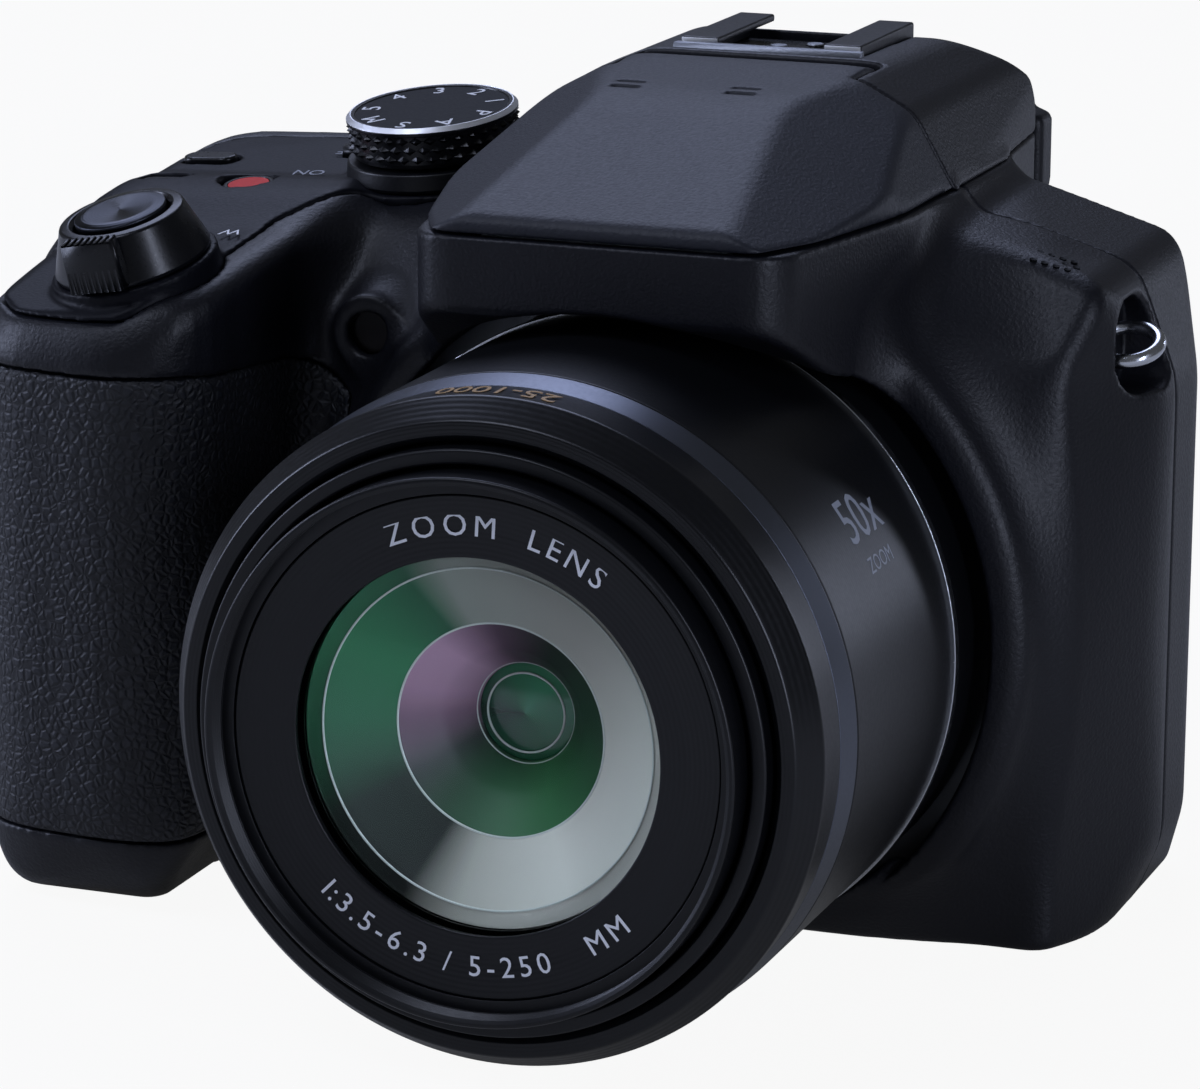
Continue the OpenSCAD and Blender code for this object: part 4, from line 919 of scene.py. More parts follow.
# %% [markdown]
# Turned pieces. A profile of radius and height, with a radius for each corner, is swept round an axis.
# The lens axis points out of the front, and the deck controls stand on their leaning places. The Screw
# modifier sweeps a line too. A function is used because each corner can be eased as it is written.

# %% Turned pieces
LENS = Matrix.Translation((0, 0, LENS_Z)) @ Matrix.Rotation(math.pi / 2, 4, "X")


def swept(name, line, place, segments):
    """A closed line of radius and height swept round a place's Z axis."""
    angles = np.linspace(0, 2 * math.pi, segments, endpoint=False)
    ring = np.stack([np.cos(angles), np.sin(angles)], 1)
    points = np.concatenate([np.concatenate([ring * r, np.full((segments, 1), h)], 1) for r, h in line])
    points = points @ np.array(place.to_3x3()).T + np.array(place.translation)
    count = len(line)
    faces = []
    for i in range(count):
        a, b = i * segments, (i + 1) % count * segments
        faces += [(a + j, a + (j + 1) % segments, b + (j + 1) % segments, b + j) for j in range(segments)]
    piece = new_piece(name, points, faces)
    clean(piece.data)
    return piece


def clean(mesh):
    """Merges doubled points, turns faces outwards and weights the normals."""
    shape = bmesh.new()
    shape.from_mesh(mesh)
    bmesh.ops.remove_doubles(shape, verts=shape.verts, dist=1e-6)
    bmesh.ops.dissolve_degenerate(shape, edges=shape.edges, dist=1e-7)
    bmesh.ops.recalc_face_normals(shape, faces=shape.faces)
    shape.to_mesh(mesh)
    shape.free()
    mesh.shade_smooth()
    weighted_normals(mesh)


def lathe(name, profile, place, segments, body, material, replaced=(), corner=0.2):
    """A swept profile whose points may carry a corner radius of their own, settled in the assembly."""
    line = rounded([(*point[:2], point[2] if len(point) > 2 else corner) for point in profile], 3)
    line[:, 0] = np.maximum(line[:, 0], 0)
    return settle(swept(name, line, place, segments), body, material, replaced)


def dome(radius, start, bulge, steps=16):
    """A cap's profile from its edge to its top."""
    big = (radius ** 2 + bulge ** 2) / (2 * bulge)
    reach = radius * np.linspace(1, 0, steps)
    return [(r, start + math.sqrt(big ** 2 - r ** 2) - big + bulge) for r in reach]


print("lens axis", [round(c, 2) for c in LENS.to_3x3() @ Vector((0, 0, 1))])

# %% [markdown]
# The lens: a fixed barrel with a silver trim ring, a front ring with a bright chamfer behind it, two
# sliding barrels and a grooved name ring. One sweep could make the whole front, but the barrels slide
# and each ring has a finish of its own, so they are separate pieces, as on the bench.

# %% Lens rings
BARREL_R, RIM_BACK, RIM_FRONT, INNER_FRONT = 35.4, 59.5, 72.0, 77.0
CAM_IN, MIDDLE_R, INNER_R, INNER_IN, GLASS_R = 30.9, 30.5, 28.4, 26.2, 19.5
lathe("lens_barrel_tube", [(33.5, 12), (BARREL_R, 12), (BARREL_R, RIM_BACK - 0.1, 0.3),
      (33.5, RIM_BACK - 0.1)], LENS, 224, "case", barrel_satin, ["lens_barrel"])
lathe("barrel_trim_band", [(BARREL_R - 0.3, 25.6), (BARREL_R + 0.3, 25.6), (BARREL_R + 0.3, 27),
      (BARREL_R - 0.3, 27)], LENS, 224, "case", nickel, ["barrel_trim_ring"], 0.1)
lathe("front_ring_chamfer", [(CAM_IN, RIM_BACK), (BARREL_R, RIM_BACK, 0.15), (34.75, 63, 0.1), (CAM_IN, 63)],
      LENS, 224, "case", chamfer_metal)
lathe("front_ring_bevel", [(CAM_IN, 63.1), (34.75, 63.1, 0.15), (35.0, 68.8, 0.9), (33, RIM_FRONT, 0.5),
      (CAM_IN + 0.6, RIM_FRONT, 0.3), (CAM_IN, RIM_FRONT - 0.6, 0.3)], LENS, 224,
      "case", ring_satin, ["front_ring"])
lathe("zoom_barrel_middle_tube", [(28.9, 15), (MIDDLE_R, 15), (MIDDLE_R, 73.5, 0.35), (28.9, 73.5, 0.3)],
      LENS, 200, "zoom_stage_one", barrel_satin, ["zoom_barrel_middle"])
thread = [(27.5 + (0.0 if i % 2 else 0.3), 74.5 + i * 0.25, 0.02) for i in range(1, 10)]
lathe("zoom_barrel_inner_tube", [(INNER_IN, 19), (INNER_R, 19), (INNER_R, INNER_FRONT, 0.35),
      (27.9, INNER_FRONT, 0.1), *thread[::-1], (27.5, 74.52, 0.05), (INNER_IN, 74.5, 0.05),
      (INNER_IN, 66.5, 0.05), (17.5, 66.5), (17.5, 64.5), (INNER_IN, 64.5, 0.05)], LENS, 200,
      "zoom_stage_two", barrel_satin, ["zoom_barrel_inner"])
lathe("name_ring_face", [(20.1, 72.2), (INNER_IN - 0.05, 72.2), (INNER_IN - 0.05, 74.4, 0.25), (22.5, 74.0, 6),
      (GLASS_R, 73.9, 0.2)], LENS, 200, "zoom_stage_two", name_satin, ["name_ring"])
print("lens rings made")

# %% [markdown]
# Glass. The front element is clear with a green coating, and light passes it without being dimmed by
# its shadow. Behind it stand the cell walls and two coated elements with painted reflections: their
# colour turns round the axis from green through grey to magenta. A stack of refracting elements would
# be truer, but it takes many samples to become clean, so the inner reflections are painted by angle.

# %% Lens glass
def coated_glass(name, tone, shade):
    """Clear glass whose reflection is tinted and whose shadow is nearly clear."""
    material, tree, shader, point = finish(name, "#ffffff", Roughness=0.02, IOR=1.3,
                                           Transmission_Weight=1.0, Specular_IOR_Level=0.3)
    shader.inputs["Specular Tint"].default_value = linear(tone)
    wipe = add(tree, "ShaderNodeTexNoise", {"Vector": point, "Scale": per_mm(6), "Detail": 3.0})
    rough(tree, shader, wipe.outputs["Fac"], 0.0, 0.03)
    path = add(tree, "ShaderNodeLightPath")
    clear = add(tree, "ShaderNodeBsdfTransparent", {"Color": linear(shade)})
    mix = add(tree, "ShaderNodeMixShader",
              {0: path.outputs["Is Shadow Ray"], 1: shader.outputs[0], 2: clear.outputs[0]})
    tree.links.new(mix.outputs[0], tree.nodes["Material Output"].inputs["Surface"])
    return material


def swept_colour(name, stops, roughness, coat):
    """Painted reflection: colour that changes round the lens axis, given as angle and colour from the left over
    the bottom.
    """
    material, tree, shader, point = finish(name, "#101214", Roughness=roughness, Coat_Weight=coat,
                                           Coat_Roughness=0.03)
    parts = add(tree, "ShaderNodeSeparateXYZ", {0: point})
    height = add(tree, "ShaderNodeMath", {0: parts.outputs[2], 1: LENS_Z * MM}, operation="SUBTRACT")
    angle = add(tree, "ShaderNodeMath", {0: height.outputs[0], 1: parts.outputs[0]}, operation="ARCTAN2")
    level = add(tree, "ShaderNodeMapRange", {0: angle.outputs[0], 1: -math.pi, 2: math.pi})
    ramp = add(tree, "ShaderNodeValToRGB", {0: level.outputs[0]})
    while len(ramp.color_ramp.elements) < len(stops):
        ramp.color_ramp.elements.new(0.5)
    for element, (degrees, colour) in zip(ramp.color_ramp.elements, stops):
        element.position = (degrees + 180) / 360
        element.color = linear(colour)
    tree.links.new(ramp.outputs[0], shader.inputs["Base Color"])
    return material


front_coating = coated_glass("green_coated_glass", "#5f9c7c", "#f2faf5")
# Painted reflections: the colours round the axis stand for lamps mirrored in the cell and the two elements.
cell_wall_painted_reflection = swept_colour("lens_cell_reflection", [
    (-180, "#22603f"), (-150, "#0b1a12"), (-118, "#0c110e"), (-100, "#a3a297"), (-60, "#dddcd0"),
    (0, "#d2d1c5"), (60, "#b4b5aa"), (105, "#8b9086"), (118, "#22583c"), (150, "#2a7049"),
    (180, "#22603f")], 0.5, 0.1)
second_reflection_paint = swept_colour("magenta_coated_element", [
    (-180, "#6d4f62"), (-150, "#141a17"), (-110, "#1d4a2b"), (-60, "#2f6f3f"), (0, "#1c4027"),
    (60, "#14231a"), (95, "#5b4555"), (130, "#b18ea4"), (160, "#9a778c"), (180, "#6d4f62")], 0.55, 0.0)
third_reflection_paint = swept_colour("deep_green_element", [
    (-180, "#12382a"), (-60, "#1b5a3b"), (60, "#3c8f66"), (180, "#12382a")], 0.15, 0.6)
edge_line = grained("ground_lens_edge", "#c9cfc9", 0.3, 1.0, (0.3, 0.5))

print("coatings", front_coating.name, cell_wall_painted_reflection.name, second_reflection_paint.name, third_reflection_paint.name)

# %% Lens elements
front_profile = [*dome(GLASS_R + 0.1, 70.9, 3.0)[::-1], *dome(GLASS_R + 0.25, 71.5, 3.0)]
settle(swept("front_glass", np.array(front_profile), LENS, 160), "zoom_stage_two",
       front_coating, ["front_lens"])
lathe("lens_cell_wall", [(11.2, 67.0), (17.8, 70.7), (GLASS_R, 70.7), (GLASS_R, 69.5), (11.2, 66.0)],
      LENS, 160, "zoom_stage_two", cell_wall_painted_reflection, corner=0.05)
lathe("second_element", [(5.2, 59.8), (7.6, 63.6, 4), (11.2, 66.8), (11.4, 66.2), (7.8, 62.9, 4), (5.2, 59.2)],
      LENS, 128, "zoom_stage_two", second_reflection_paint, corner=0.05)
settle(swept("third_element", np.array([(0, 58.6), (5.4, 58.8), *dome(5.4, 59.4, 0.9)]), LENS, 96),
       "zoom_stage_two", third_reflection_paint)
EDGE_HALF = 0.1
EDGES = {"outer": (17.8, 70.75), "second": (11.2, 67.05), "third": (5.4, 60.0), "fourth": (4.2, 59.95)}
for name, (radius, height) in EDGES.items():
    bead = [(radius + a * EDGE_HALF, height + b * EDGE_HALF) for a, b in ((-1, -1), (1, -1), (1, 1), (-1, 1))]
    lathe(name + "_element_edge", bead, LENS, 128, "zoom_stage_two", edge_line, corner=0.05)
print("glass made")

# %% [markdown]
# Repeats. Knurls, ribs, ridges, arrows and the dark discs of painted shade that stand for speaker holes
# are one small shape each, repeated by a Geometry Nodes group that turns each copy a little further
# round an axis, or moves it a step further along. An Array modifier repeats too, but the group has named
# inputs and ends with real faces and their finish.

# %% Repeat group
def repeat_group():
    """The node group: points in a row, a turned copy on each, made real and given a material."""
    group = bpy.data.node_groups.new("repeat_shape", "GeometryNodeTree")
    face = group.interface
    kinds = {"Count": "Int", "First": "Float", "Turn": "Float", "Step": "Vector", "Shape": "Object",
             "Finish": "Material"}
    for label, kind in kinds.items():
        face.new_socket(label, in_out="INPUT", socket_type="NodeSocket" + kind)
    face.new_socket("Geometry", in_out="OUTPUT", socket_type="NodeSocketGeometry")
    given = group.nodes.new("NodeGroupInput").outputs
    index = add(group, "GeometryNodeInputIndex").outputs[0]
    place = add(group, "ShaderNodeVectorMath", {0: given["Step"], "Scale": index}, operation="SCALE")
    points = add(group, "GeometryNodePoints", {"Count": given["Count"], "Position": place.outputs[0]})
    angle = add(group, "ShaderNodeMath", {0: index, 1: given["Turn"], 2: given["First"]},
                operation="MULTIPLY_ADD")
    spin = add(group, "ShaderNodeCombineXYZ", {2: angle.outputs[0]})
    shape = add(group, "GeometryNodeObjectInfo", {"Object": given["Shape"]})
    copies = add(group, "GeometryNodeInstanceOnPoints", {
        "Points": points.outputs[0], "Instance": shape.outputs["Geometry"], "Rotation": spin.outputs[0]})
    solid = add(group, "GeometryNodeRealizeInstances", {0: copies.outputs[0]})
    painted = add(group, "GeometryNodeSetMaterial", {"Geometry": solid.outputs[0], "Material": given["Finish"]})
    out = group.nodes.new("NodeGroupOutput")
    group.links.new(painted.outputs[0], out.inputs[0])
    return group


REPEAT = repeat_group()
SOCKET = {item.name: item.identifier for item in REPEAT.interface.items_tree if item.in_out == "INPUT"}
print("repeat inputs", list(SOCKET))


# %% [markdown]
# Small shapes. Levers, tabs, ribs and arrows are prisms: an outline, two heights and a taper. Each is
# written upright and then stood on its place, alone or through the repeat group.

# %% Prisms and repeats
def shaped(name, shape, place=Matrix()):
    """A piece from points and faces in millimetres, stood on a place."""
    piece = new_piece(name, [place @ Vector(q) for q in shape[0]], shape[1])
    clean(piece.data)
    return piece


def repeated(name, shape, place, material, count, turn=0.0, first=0.0, step=(0, 0, 0)):
    """Copies of a shape, given as points and faces in millimetres, as one piece at a place."""
    seed = shaped(name + "_seed", shape)
    holder = bpy.data.objects.new(name, bpy.data.meshes.new(name))
    scene.collection.objects.link(holder)
    nodes_modifier = holder.modifiers.new("repeat", "NODES")
    nodes_modifier.node_group = REPEAT
    for label, value in (("Count", count), ("First", first), ("Turn", turn), ("Step", Vector(step) * MM),
                         ("Shape", seed), ("Finish", material)):
        nodes_modifier[SOCKET[label]] = value
    holder.data = evaluated_mesh(holder)
    holder.modifiers.clear()
    move = place.copy()
    move.translation *= MM
    holder.data.transform(move)
    holder.data.shade_flat()
    bpy.data.objects.remove(seed)
    print(name, "copies", count, "faces", len(holder.data.polygons))
    return holder


def prism(outline_points, low, high, taper=0.0):
    """Points and faces of an upright prism, its top drawn in by taper."""
    base = np.array(outline_points, float)
    middle = base.mean(0)
    top = middle + (base - middle) * (1 - taper)
    n = len(base)
    points = [(*q, low) for q in base] + [(*q, high) for q in top]
    sides = [(i, (i + 1) % n, n + (i + 1) % n, n + i) for i in range(n)]
    return points, [tuple(range(n))[::-1], tuple(range(n, 2 * n)), *sides]


print("a square prism has", len(prism([(0, 0), (1, 0), (1, 1), (0, 1)], 0, 1)[1]), "faces")

# %% [markdown]
# Mode dial. The rim has three rows of diamond knurls under a bright cut edge, and white letters. Relief
# in the material would be flat at the outline, where knurls show most, so each is a small pyramid.

# %% Mode dial
DIAL_BASE, DIAL_TOP = 3.1, 7.9
KNURLS, KNURL_ROWS = 36, 3
gloss_black = sand_plastic("moulded_gloss_black", "#07080a", "#0b0c10", 0.24, 0.34, 0.008)
dial_face = sand_plastic("matt_dial_face", "#050608", "#08090b", 0.5, 0.62, 0.008, 0.1)
lathe("mode_dial_cap", [(0, DIAL_BASE), (9.3, DIAL_BASE, 0.1), (9.45, DIAL_BASE + 0.5, 0.2),
      (9.45, DIAL_TOP - 1.0, 0.1), (9.9, DIAL_TOP - 0.9, 0.1), (9.9, DIAL_TOP - 0.55, 0.1),
      (9.35, DIAL_TOP - 0.05, 0.1), (8.9, DIAL_TOP - 0.05, 0.1), (8.8, DIAL_TOP - 0.25, 0.1),
      (0, DIAL_TOP - 0.25)], on_dial, 144, "mode_dial", gloss_black, ["mode_dial"])
lathe("mode_dial_bright_edge", [(9.3, DIAL_TOP - 0.5), (9.96, DIAL_TOP - 0.5), (9.42, DIAL_TOP),
      (9.3, DIAL_TOP)], on_dial, 144, "mode_dial", cut_edge, corner=0.03)
lathe("mode_dial_face", [(0, DIAL_TOP - 0.3), (8.85, DIAL_TOP - 0.3), (8.85, DIAL_TOP - 0.2),
      (0, DIAL_TOP - 0.2)], on_dial, 96, "mode_dial", dial_face, corner=0.03)
lathe("mode_dial_shaft", [(0, -4), (3.0, -4), (3.0, DIAL_BASE + 0.2), (0, DIAL_BASE + 0.2)],
      on_dial, 48, "mode_dial", control_plastic)
KNURL_R, KNURL_TIP = 9.4, 10.0
row_h = (DIAL_TOP - 1.05 - DIAL_BASE - 0.5) / KNURL_ROWS
half_w = math.pi * KNURL_R / KNURLS
turn = 2 * math.pi / KNURLS
diamond = [(0, 1, 4), (1, 2, 4), (2, 3, 4), (3, 0, 4), (3, 2, 1, 0)]
for row in range(KNURL_ROWS):
    z = DIAL_BASE + 0.55 + row_h * (row + 0.5)
    corners = [(KNURL_R, -half_w, z), (KNURL_R, 0, z - row_h / 2), (KNURL_R, half_w, z),
               (KNURL_R, 0, z + row_h / 2), (KNURL_TIP, 0, z)]
    knurl_row = repeated(f"mode_dial_knurl_{row + 1}", (corners, diamond), on_dial, gloss_black, KNURLS, turn,
                         turn / 2 * (row % 2))
    settle(knurl_row, "mode_dial", gloss_black)

# %% [markdown]
# The power lever is a flat ring under the mode dial with a short arm for the thumb. Ring and arm could
# be one mesh, but the ring is turned and the arm is a prism, and both ride on the same body.

# %% Power lever
lever_place = on_dial @ Matrix.Translation((0, 0, 0.45))
lathe("power_lever_ring", [(5.05, 0), (10.3, 0), (10.5, 0.4, 0.2), (10.2, 2.2, 0.3), (5.05, 2.2)],
      lever_place, 128, "power_lever", control_plastic, ["power_lever"])
arm = prism([(9.6, -1.6), (12.2, -1.3), (12.8, 0), (12.2, 1.3), (9.6, 1.6)], 0.9, 2.1, 0.12)
arm_place = lever_place @ Matrix.Rotation(math.radians(170), 4, "Z")
settle(shaped("power_lever_arm", arm, arm_place), "power_lever", control_plastic)
print("dial top", DIAL_TOP, "mm over the deck")

# %% [markdown]
# Shutter button and zoom lever: a spun metal disc in a black ring that slopes outwards, with a
# ridged tab at the front for the finger. The disc's sheen runs in circles: its reflection is drawn out
# along a tangent that turns round the middle, which a plain glossy surface can't show.

# %% Shutter and zoom lever
SPUN_PITCH = 0.16
spun_disc, tree, shader, point = finish("spun_shutter_disc", "#33353b", Metallic=1.0, Roughness=0.30,
                                        Anisotropic=0.9)
flat = add(tree, "ShaderNodeVectorMath", {0: point, 1: tuple(on_shutter.translation * MM)},
           operation="SUBTRACT")
reach = add(tree, "ShaderNodeVectorMath", {0: flat.outputs[0]}, operation="LENGTH").outputs["Value"]
turns = add(tree, "ShaderNodeMath", {0: reach, 1: 2 * math.pi / (SPUN_PITCH * MM)}, operation="MULTIPLY")
wave = add(tree, "ShaderNodeMath", {0: turns.outputs[0]}, operation="SINE")
bump(tree, shader, wave.outputs[0], 0.0025)
axis = tuple(on_shutter.to_3x3() @ Vector((0, 0, 1)))
tangent = add(tree, "ShaderNodeVectorMath", {0: axis, 1: flat.outputs[0]}, operation="CROSS_PRODUCT")
unit = add(tree, "ShaderNodeVectorMath", {0: tangent.outputs[0]}, operation="NORMALIZE")
tree.links.new(unit.outputs[0], shader.inputs["Tangent"])
lathe("shutter_disc", [(0, 5.0), (5.0, 5.0), (5.2, 5.3, 0.1), (5.2, 6.35, 0.25), (4.2, 6.6, 3), (0, 6.45)],
      on_shutter, 128, "shutter_button", spun_disc, ["shutter_button"])
lathe("shutter_stem", [(0, -2), (2, -2), (2, 5.2), (0, 5.2)], on_shutter, 48,
      "shutter_button", spun_metal)
lathe("zoom_lever_ring", [(6.25, 0.45), (8.7, 0.45, 0.15), (8.8, 0.9, 0.3), (7.0, 5.9, 0.5), (5.95, 6.05, 0.25),
      (5.5, 5.5, 0.2), (5.5, 4.0), (6.25, 4.0)], on_shutter, 144,
      "zoom_lever", gloss_black, ["zoom_lever"])
tab = prism([(-3.2, -9.9), (3.2, -9.9), (3.2, -7.6), (-3.2, -7.6)], 0.9, 6.4, 0.08)
settle(shaped("zoom_lever_tab", tab, on_shutter), "zoom_lever", gloss_black)
RIDGES, RIDGE_SPAN = 8, 5.46
ridge = prism([(-0.24, -10.0), (0.24, -10.0), (0.24, -7.4), (-0.24, -7.4)], 0.9, 6.6, 0.25)
first_ridge = on_shutter @ Matrix.Translation((-RIDGE_SPAN / 2, 0, 0))
settle(repeated("zoom_lever_ridges", ridge, first_ridge, gloss_black, RIDGES,
                step=(RIDGE_SPAN / (RIDGES - 1), 0, 0)), "zoom_lever", gloss_black)

# %% [markdown]
# The movie key is a small turned cap with a red dot. The two oval keys keep the form of their solids
# with eased edges: a bevel on a copy of the solid is enough for pieces as small as these.

# %% Deck buttons
red_dot = grained("red_movie_dot", "#b81409", 0.5, 2.0, light="#d22418", Roughness=0.5, Specular_IOR_Level=0.2)
on_movie = tilted(MOVIE_AT, DECK_TILT)
lathe("movie_button_cap", [(0, -3), (3.2, -3), (3.2, 0.5, 0.3), (2.9, 0.9, 0.3), (2.45, 0.9, 0.1),
      (2.4, 0.7, 0.05), (0, 0.7)], on_movie, 96, "movie_button", gloss_black,
      ["movie_button"])
lathe("movie_button_dot", [(0, 0.66), (2.38, 0.66), (2.38, 0.86, 0.03), (0, 0.86)], on_movie, 64,
      "movie_button", red_dot, corner=0.02)


SHARP = math.radians(28)


def bevelled(name, width, material, segments=2):
    """A copy of a solid with its sharp edges rounded, standing for that solid."""
    source = nodes[name]
    mesh = source.data.copy()
    mesh.transform(source.matrix_world)
    shape = bmesh.new()
    shape.from_mesh(mesh)
    bmesh.ops.remove_doubles(shape, verts=shape.verts, dist=2e-6)
    bmesh.ops.dissolve_limit(shape, angle_limit=math.radians(1.5), verts=shape.verts, edges=shape.edges)
    sharp = [edge for edge in shape.edges if edge.is_manifold and edge.calc_face_angle(0) > SHARP]
    count = len(sharp)
    bmesh.ops.bevel(shape, geom=sharp, offset=width * MM, segments=segments, affect="EDGES", profile=0.5,
                    clamp_overlap=True)
    bmesh.ops.recalc_face_normals(shape, faces=shape.faces)
    shape.to_mesh(mesh)
    shape.free()
    mesh.shade_smooth()
    weighted_normals(mesh)
    piece = bpy.data.objects.new(name + "_eased", mesh)
    scene.collection.objects.link(piece)
    print(piece.name, "edges eased", count)
    return settle(piece, body_of[name], material, [name])


bevelled("focus_button", 0.35, gloss_black)
bevelled("drive_button", 0.35, gloss_black)

# %% [markdown]
# Back controls: round keys with soft edges, a ring pad with a raised lip and arrow marks, a ribbed
# thumb wheel and a ribbed eyesight dial. They take their places from the solids. The ribs could be a
# wave in the material, but a thumb wheel is seen edge on, so they are real.

# %% Back controls
def facing_back(middle):
    """A place whose axis points out of the back, at a sideways place and a height."""
    return Matrix.Translation((middle[0], 0, middle[1])) @ Matrix.Rotation(-math.pi / 2, 4, "X")


def ink(name, colour, roughness):
    """Printed ink with a fine uneven shine."""
    return grained(name, colour, 0.25, 1.0, (roughness - 0.05, roughness + 0.1))


white_print = ink("white_pad_print", "#e6e7ea", 0.5)
for name in BACK_BUTTONS + ["menu_button"]:
    middle, radius = back_round(name)
    lathe(name + "_cap", [(0, 22), (radius, 22), (radius, 26.55, 0.45), (radius * 0.5, 27, 3), (0, 26.95)],
          facing_back(middle), 72, name, gloss_black, [name])
middle, radius = back_round("cursor_pad")
lathe("cursor_pad_ring", [(4.3, 22), (radius, 22), (radius, 26.6, 0.4), (radius - 0.9, 27, 0.4), (6, 26.5, 2),
      (4.3, 26.75, 0.2)], facing_back(middle), 112, "cursor_pad", control_plastic,
      ["cursor_pad"])
arrow = prism([(7.0, -0.55), (7.9, 0), (7.0, 0.55)], 26.62, 26.82)
settle(repeated("cursor_pad_arrows", arrow, facing_back(middle), white_print, 4, math.pi / 2),
       "cursor_pad", white_print)

# %% Thumb wheel and eyesight dial
WHEEL_RIBS, EYE_RIBS = 44, 36
low, high = node_box("rear_dial")
wheel_place = Matrix.Translation(((low[0] + high[0]) / 2, (low[1] + high[1]) / 2, 0))
wheel_r = (high[0] - low[0]) / 2
lathe("rear_dial_wheel", [(0, low[2]), (wheel_r - 0.5, low[2], 0.4), (wheel_r - 0.35, low[2] + 0.6, 0.2),
      (wheel_r - 0.35, high[2] - 0.6, 0.2), (wheel_r - 0.5, high[2], 0.4), (0, high[2])], wheel_place, 96,
      "rear_dial", control_plastic, ["rear_dial"])
rib = prism([(wheel_r - 0.6, -0.3), (wheel_r, -0.2), (wheel_r, 0.2), (wheel_r - 0.6, 0.3)],
            low[2] + 0.5, high[2] - 0.5)
settle(repeated("rear_dial_ribs", rib, wheel_place, control_plastic, WHEEL_RIBS, 2 * math.pi / WHEEL_RIBS),
       "rear_dial", control_plastic)
low, high = node_box("diopter_dial")
eye_dial_place = Matrix.Translation((0, (low[1] + high[1]) / 2, (low[2] + high[2]) / 2))
eye_dial_place = eye_dial_place @ Matrix.Rotation(math.pi / 2, 4, "Y")
lathe("diopter_dial_wheel", [(0, low[0]), (3.6, low[0], 0.5), (3.7, high[0]), (0, high[0])], eye_dial_place, 64,
      "diopter_dial", control_plastic, ["diopter_dial"])
rib = prism([(3.5, -0.2), (4.0, -0.12), (4.0, 0.12), (3.5, 0.2)], low[0] + 0.5, high[0] - 0.3)
settle(repeated("diopter_dial_ribs", rib, eye_dial_place, control_plastic, EYE_RIBS, 2 * math.pi / EYE_RIBS),
       "diopter_dial", control_plastic)

# %% [markdown]
# The other finishes: cover glass, painted and bare metal, the board's solder mask and the wrap of the
# battery. One function gives them a smooth surface with faint clouding. A perfectly even surface would
# be simpler, but it looks drawn.

# %% Other finishes
def gloss(name, dark, light, roughness, grain_mm=2.0, **sockets):
    """A smooth surface with faint clouding."""
    shine = (max(roughness - 0.05, 0.02), roughness + 0.08)
    return grained(name, dark, grain_mm, 3.0, shine, light, **sockets)


painted_metal = sand_plastic("black_painted_metal", "#101116", "#16171c", 0.30, 0.44, 0.01)
screen_black = gloss("screen_surround", "#08090b", "#0c0d10", 0.25)
COATED = {"Coat_Weight": 1.0, "Coat_Roughness": 0.02}
screen_cover = gloss("screen_cover_glass", "#07080a", "#0a0b0f", 0.04, 20.0, **COATED)
finder_glass = gloss("finder_eyepiece_glass", "#0d1120", "#1a2140", 0.03, 12.0, **COATED)
lamp_lens = gloss("focus_lamp_lens", "#060303", "#0a0404", 0.3, 1.5, Specular_IOR_Level=0.12)
flash_panel = gloss("ribbed_flash_panel", "#c9ced2", "#e2e5e7", 0.12, 0.8, Coat_Weight=0.6)
board_mask = gloss("green_solder_mask", "#14402a", "#1c5538", 0.35, 1.2)
cell_wrap = gloss("printed_cell_wrap", "#1b1d22", "#26282e", 0.4, 3.0)
bare_steel = metal("plain_steel", "#9a9da3", 0.32, 0.5, 0.003)
cast_metal = metal("die_cast_frame", "#7d8085", 0.45, 0.7, 0.01)
strip_metal = metal("bead_blasted_strip", "#8c8f96", 0.42, 0.25, 0.03)
screw_black = metal("blackened_screw", "#3a3c42", 0.36, 0.4, 0.004)
print("materials so far", len(bpy.data.materials))

# %% [markdown]
# Solids that already have the right shape keep it. The accessory shoe, the screen and the flash head get
# soft edges and a finish of their own; the pins and what lies inside the doors get only a finish. They
# could be built again from outlines, but the imported solid is exact, and only its knife-sharp edges
# give it away.

# %% Solids kept in shape
EASED = {"hot_shoe_rails": (0.28, painted_metal), "hot_shoe_plate": (0.12, screen_black),
         "screen_glass": (0.25, screen_cover), "flash_head": (0.4, control_plastic),
         "flash_window": (0.15, flash_panel), "battery_latch": (0.2, gloss_black)}
for name, (width, material) in EASED.items():
    bevelled(name, width, material)
KEPT = {"screen_module": screen_black, "eyepiece_lens": finder_glass, "finder_module": screen_black,
        "rear_lens_group": front_coating, "middle_lens_group": front_coating, "cam_ring": barrel_satin,
        "drive_pinion": brass, "zoom_motor": bare_steel, "lens_mount_plate": cast_metal,
        "image_sensor": board_mask, "battery_door_pin": bare_steel, "flash_hinge_pin": bare_steel,
        "terminal_ports": bare_steel,
        "main_board": board_mask, "battery": cell_wrap, "memory_card": cell_wrap, "flash_capacitor": cell_wrap,
        "case_screws": screw_black, "tripod_socket": bare_steel, "strap_eyelets": nickel,
        "focus_lamp_window": lamp_lens}
for name, material in KEPT.items():
    slots = nodes[name].data.materials
    slots.clear()
    slots.append(material)
print("kept solids", len(KEPT))

# %% [markdown]
# Shoe details: a blasted metal strip along the front of the shoe, bright bare ends on the rails where
# the paint is cut away, and the contacts. A colour ramp on the rails could fake the bare ends, but thin
# real plates catch the light as cut metal does.

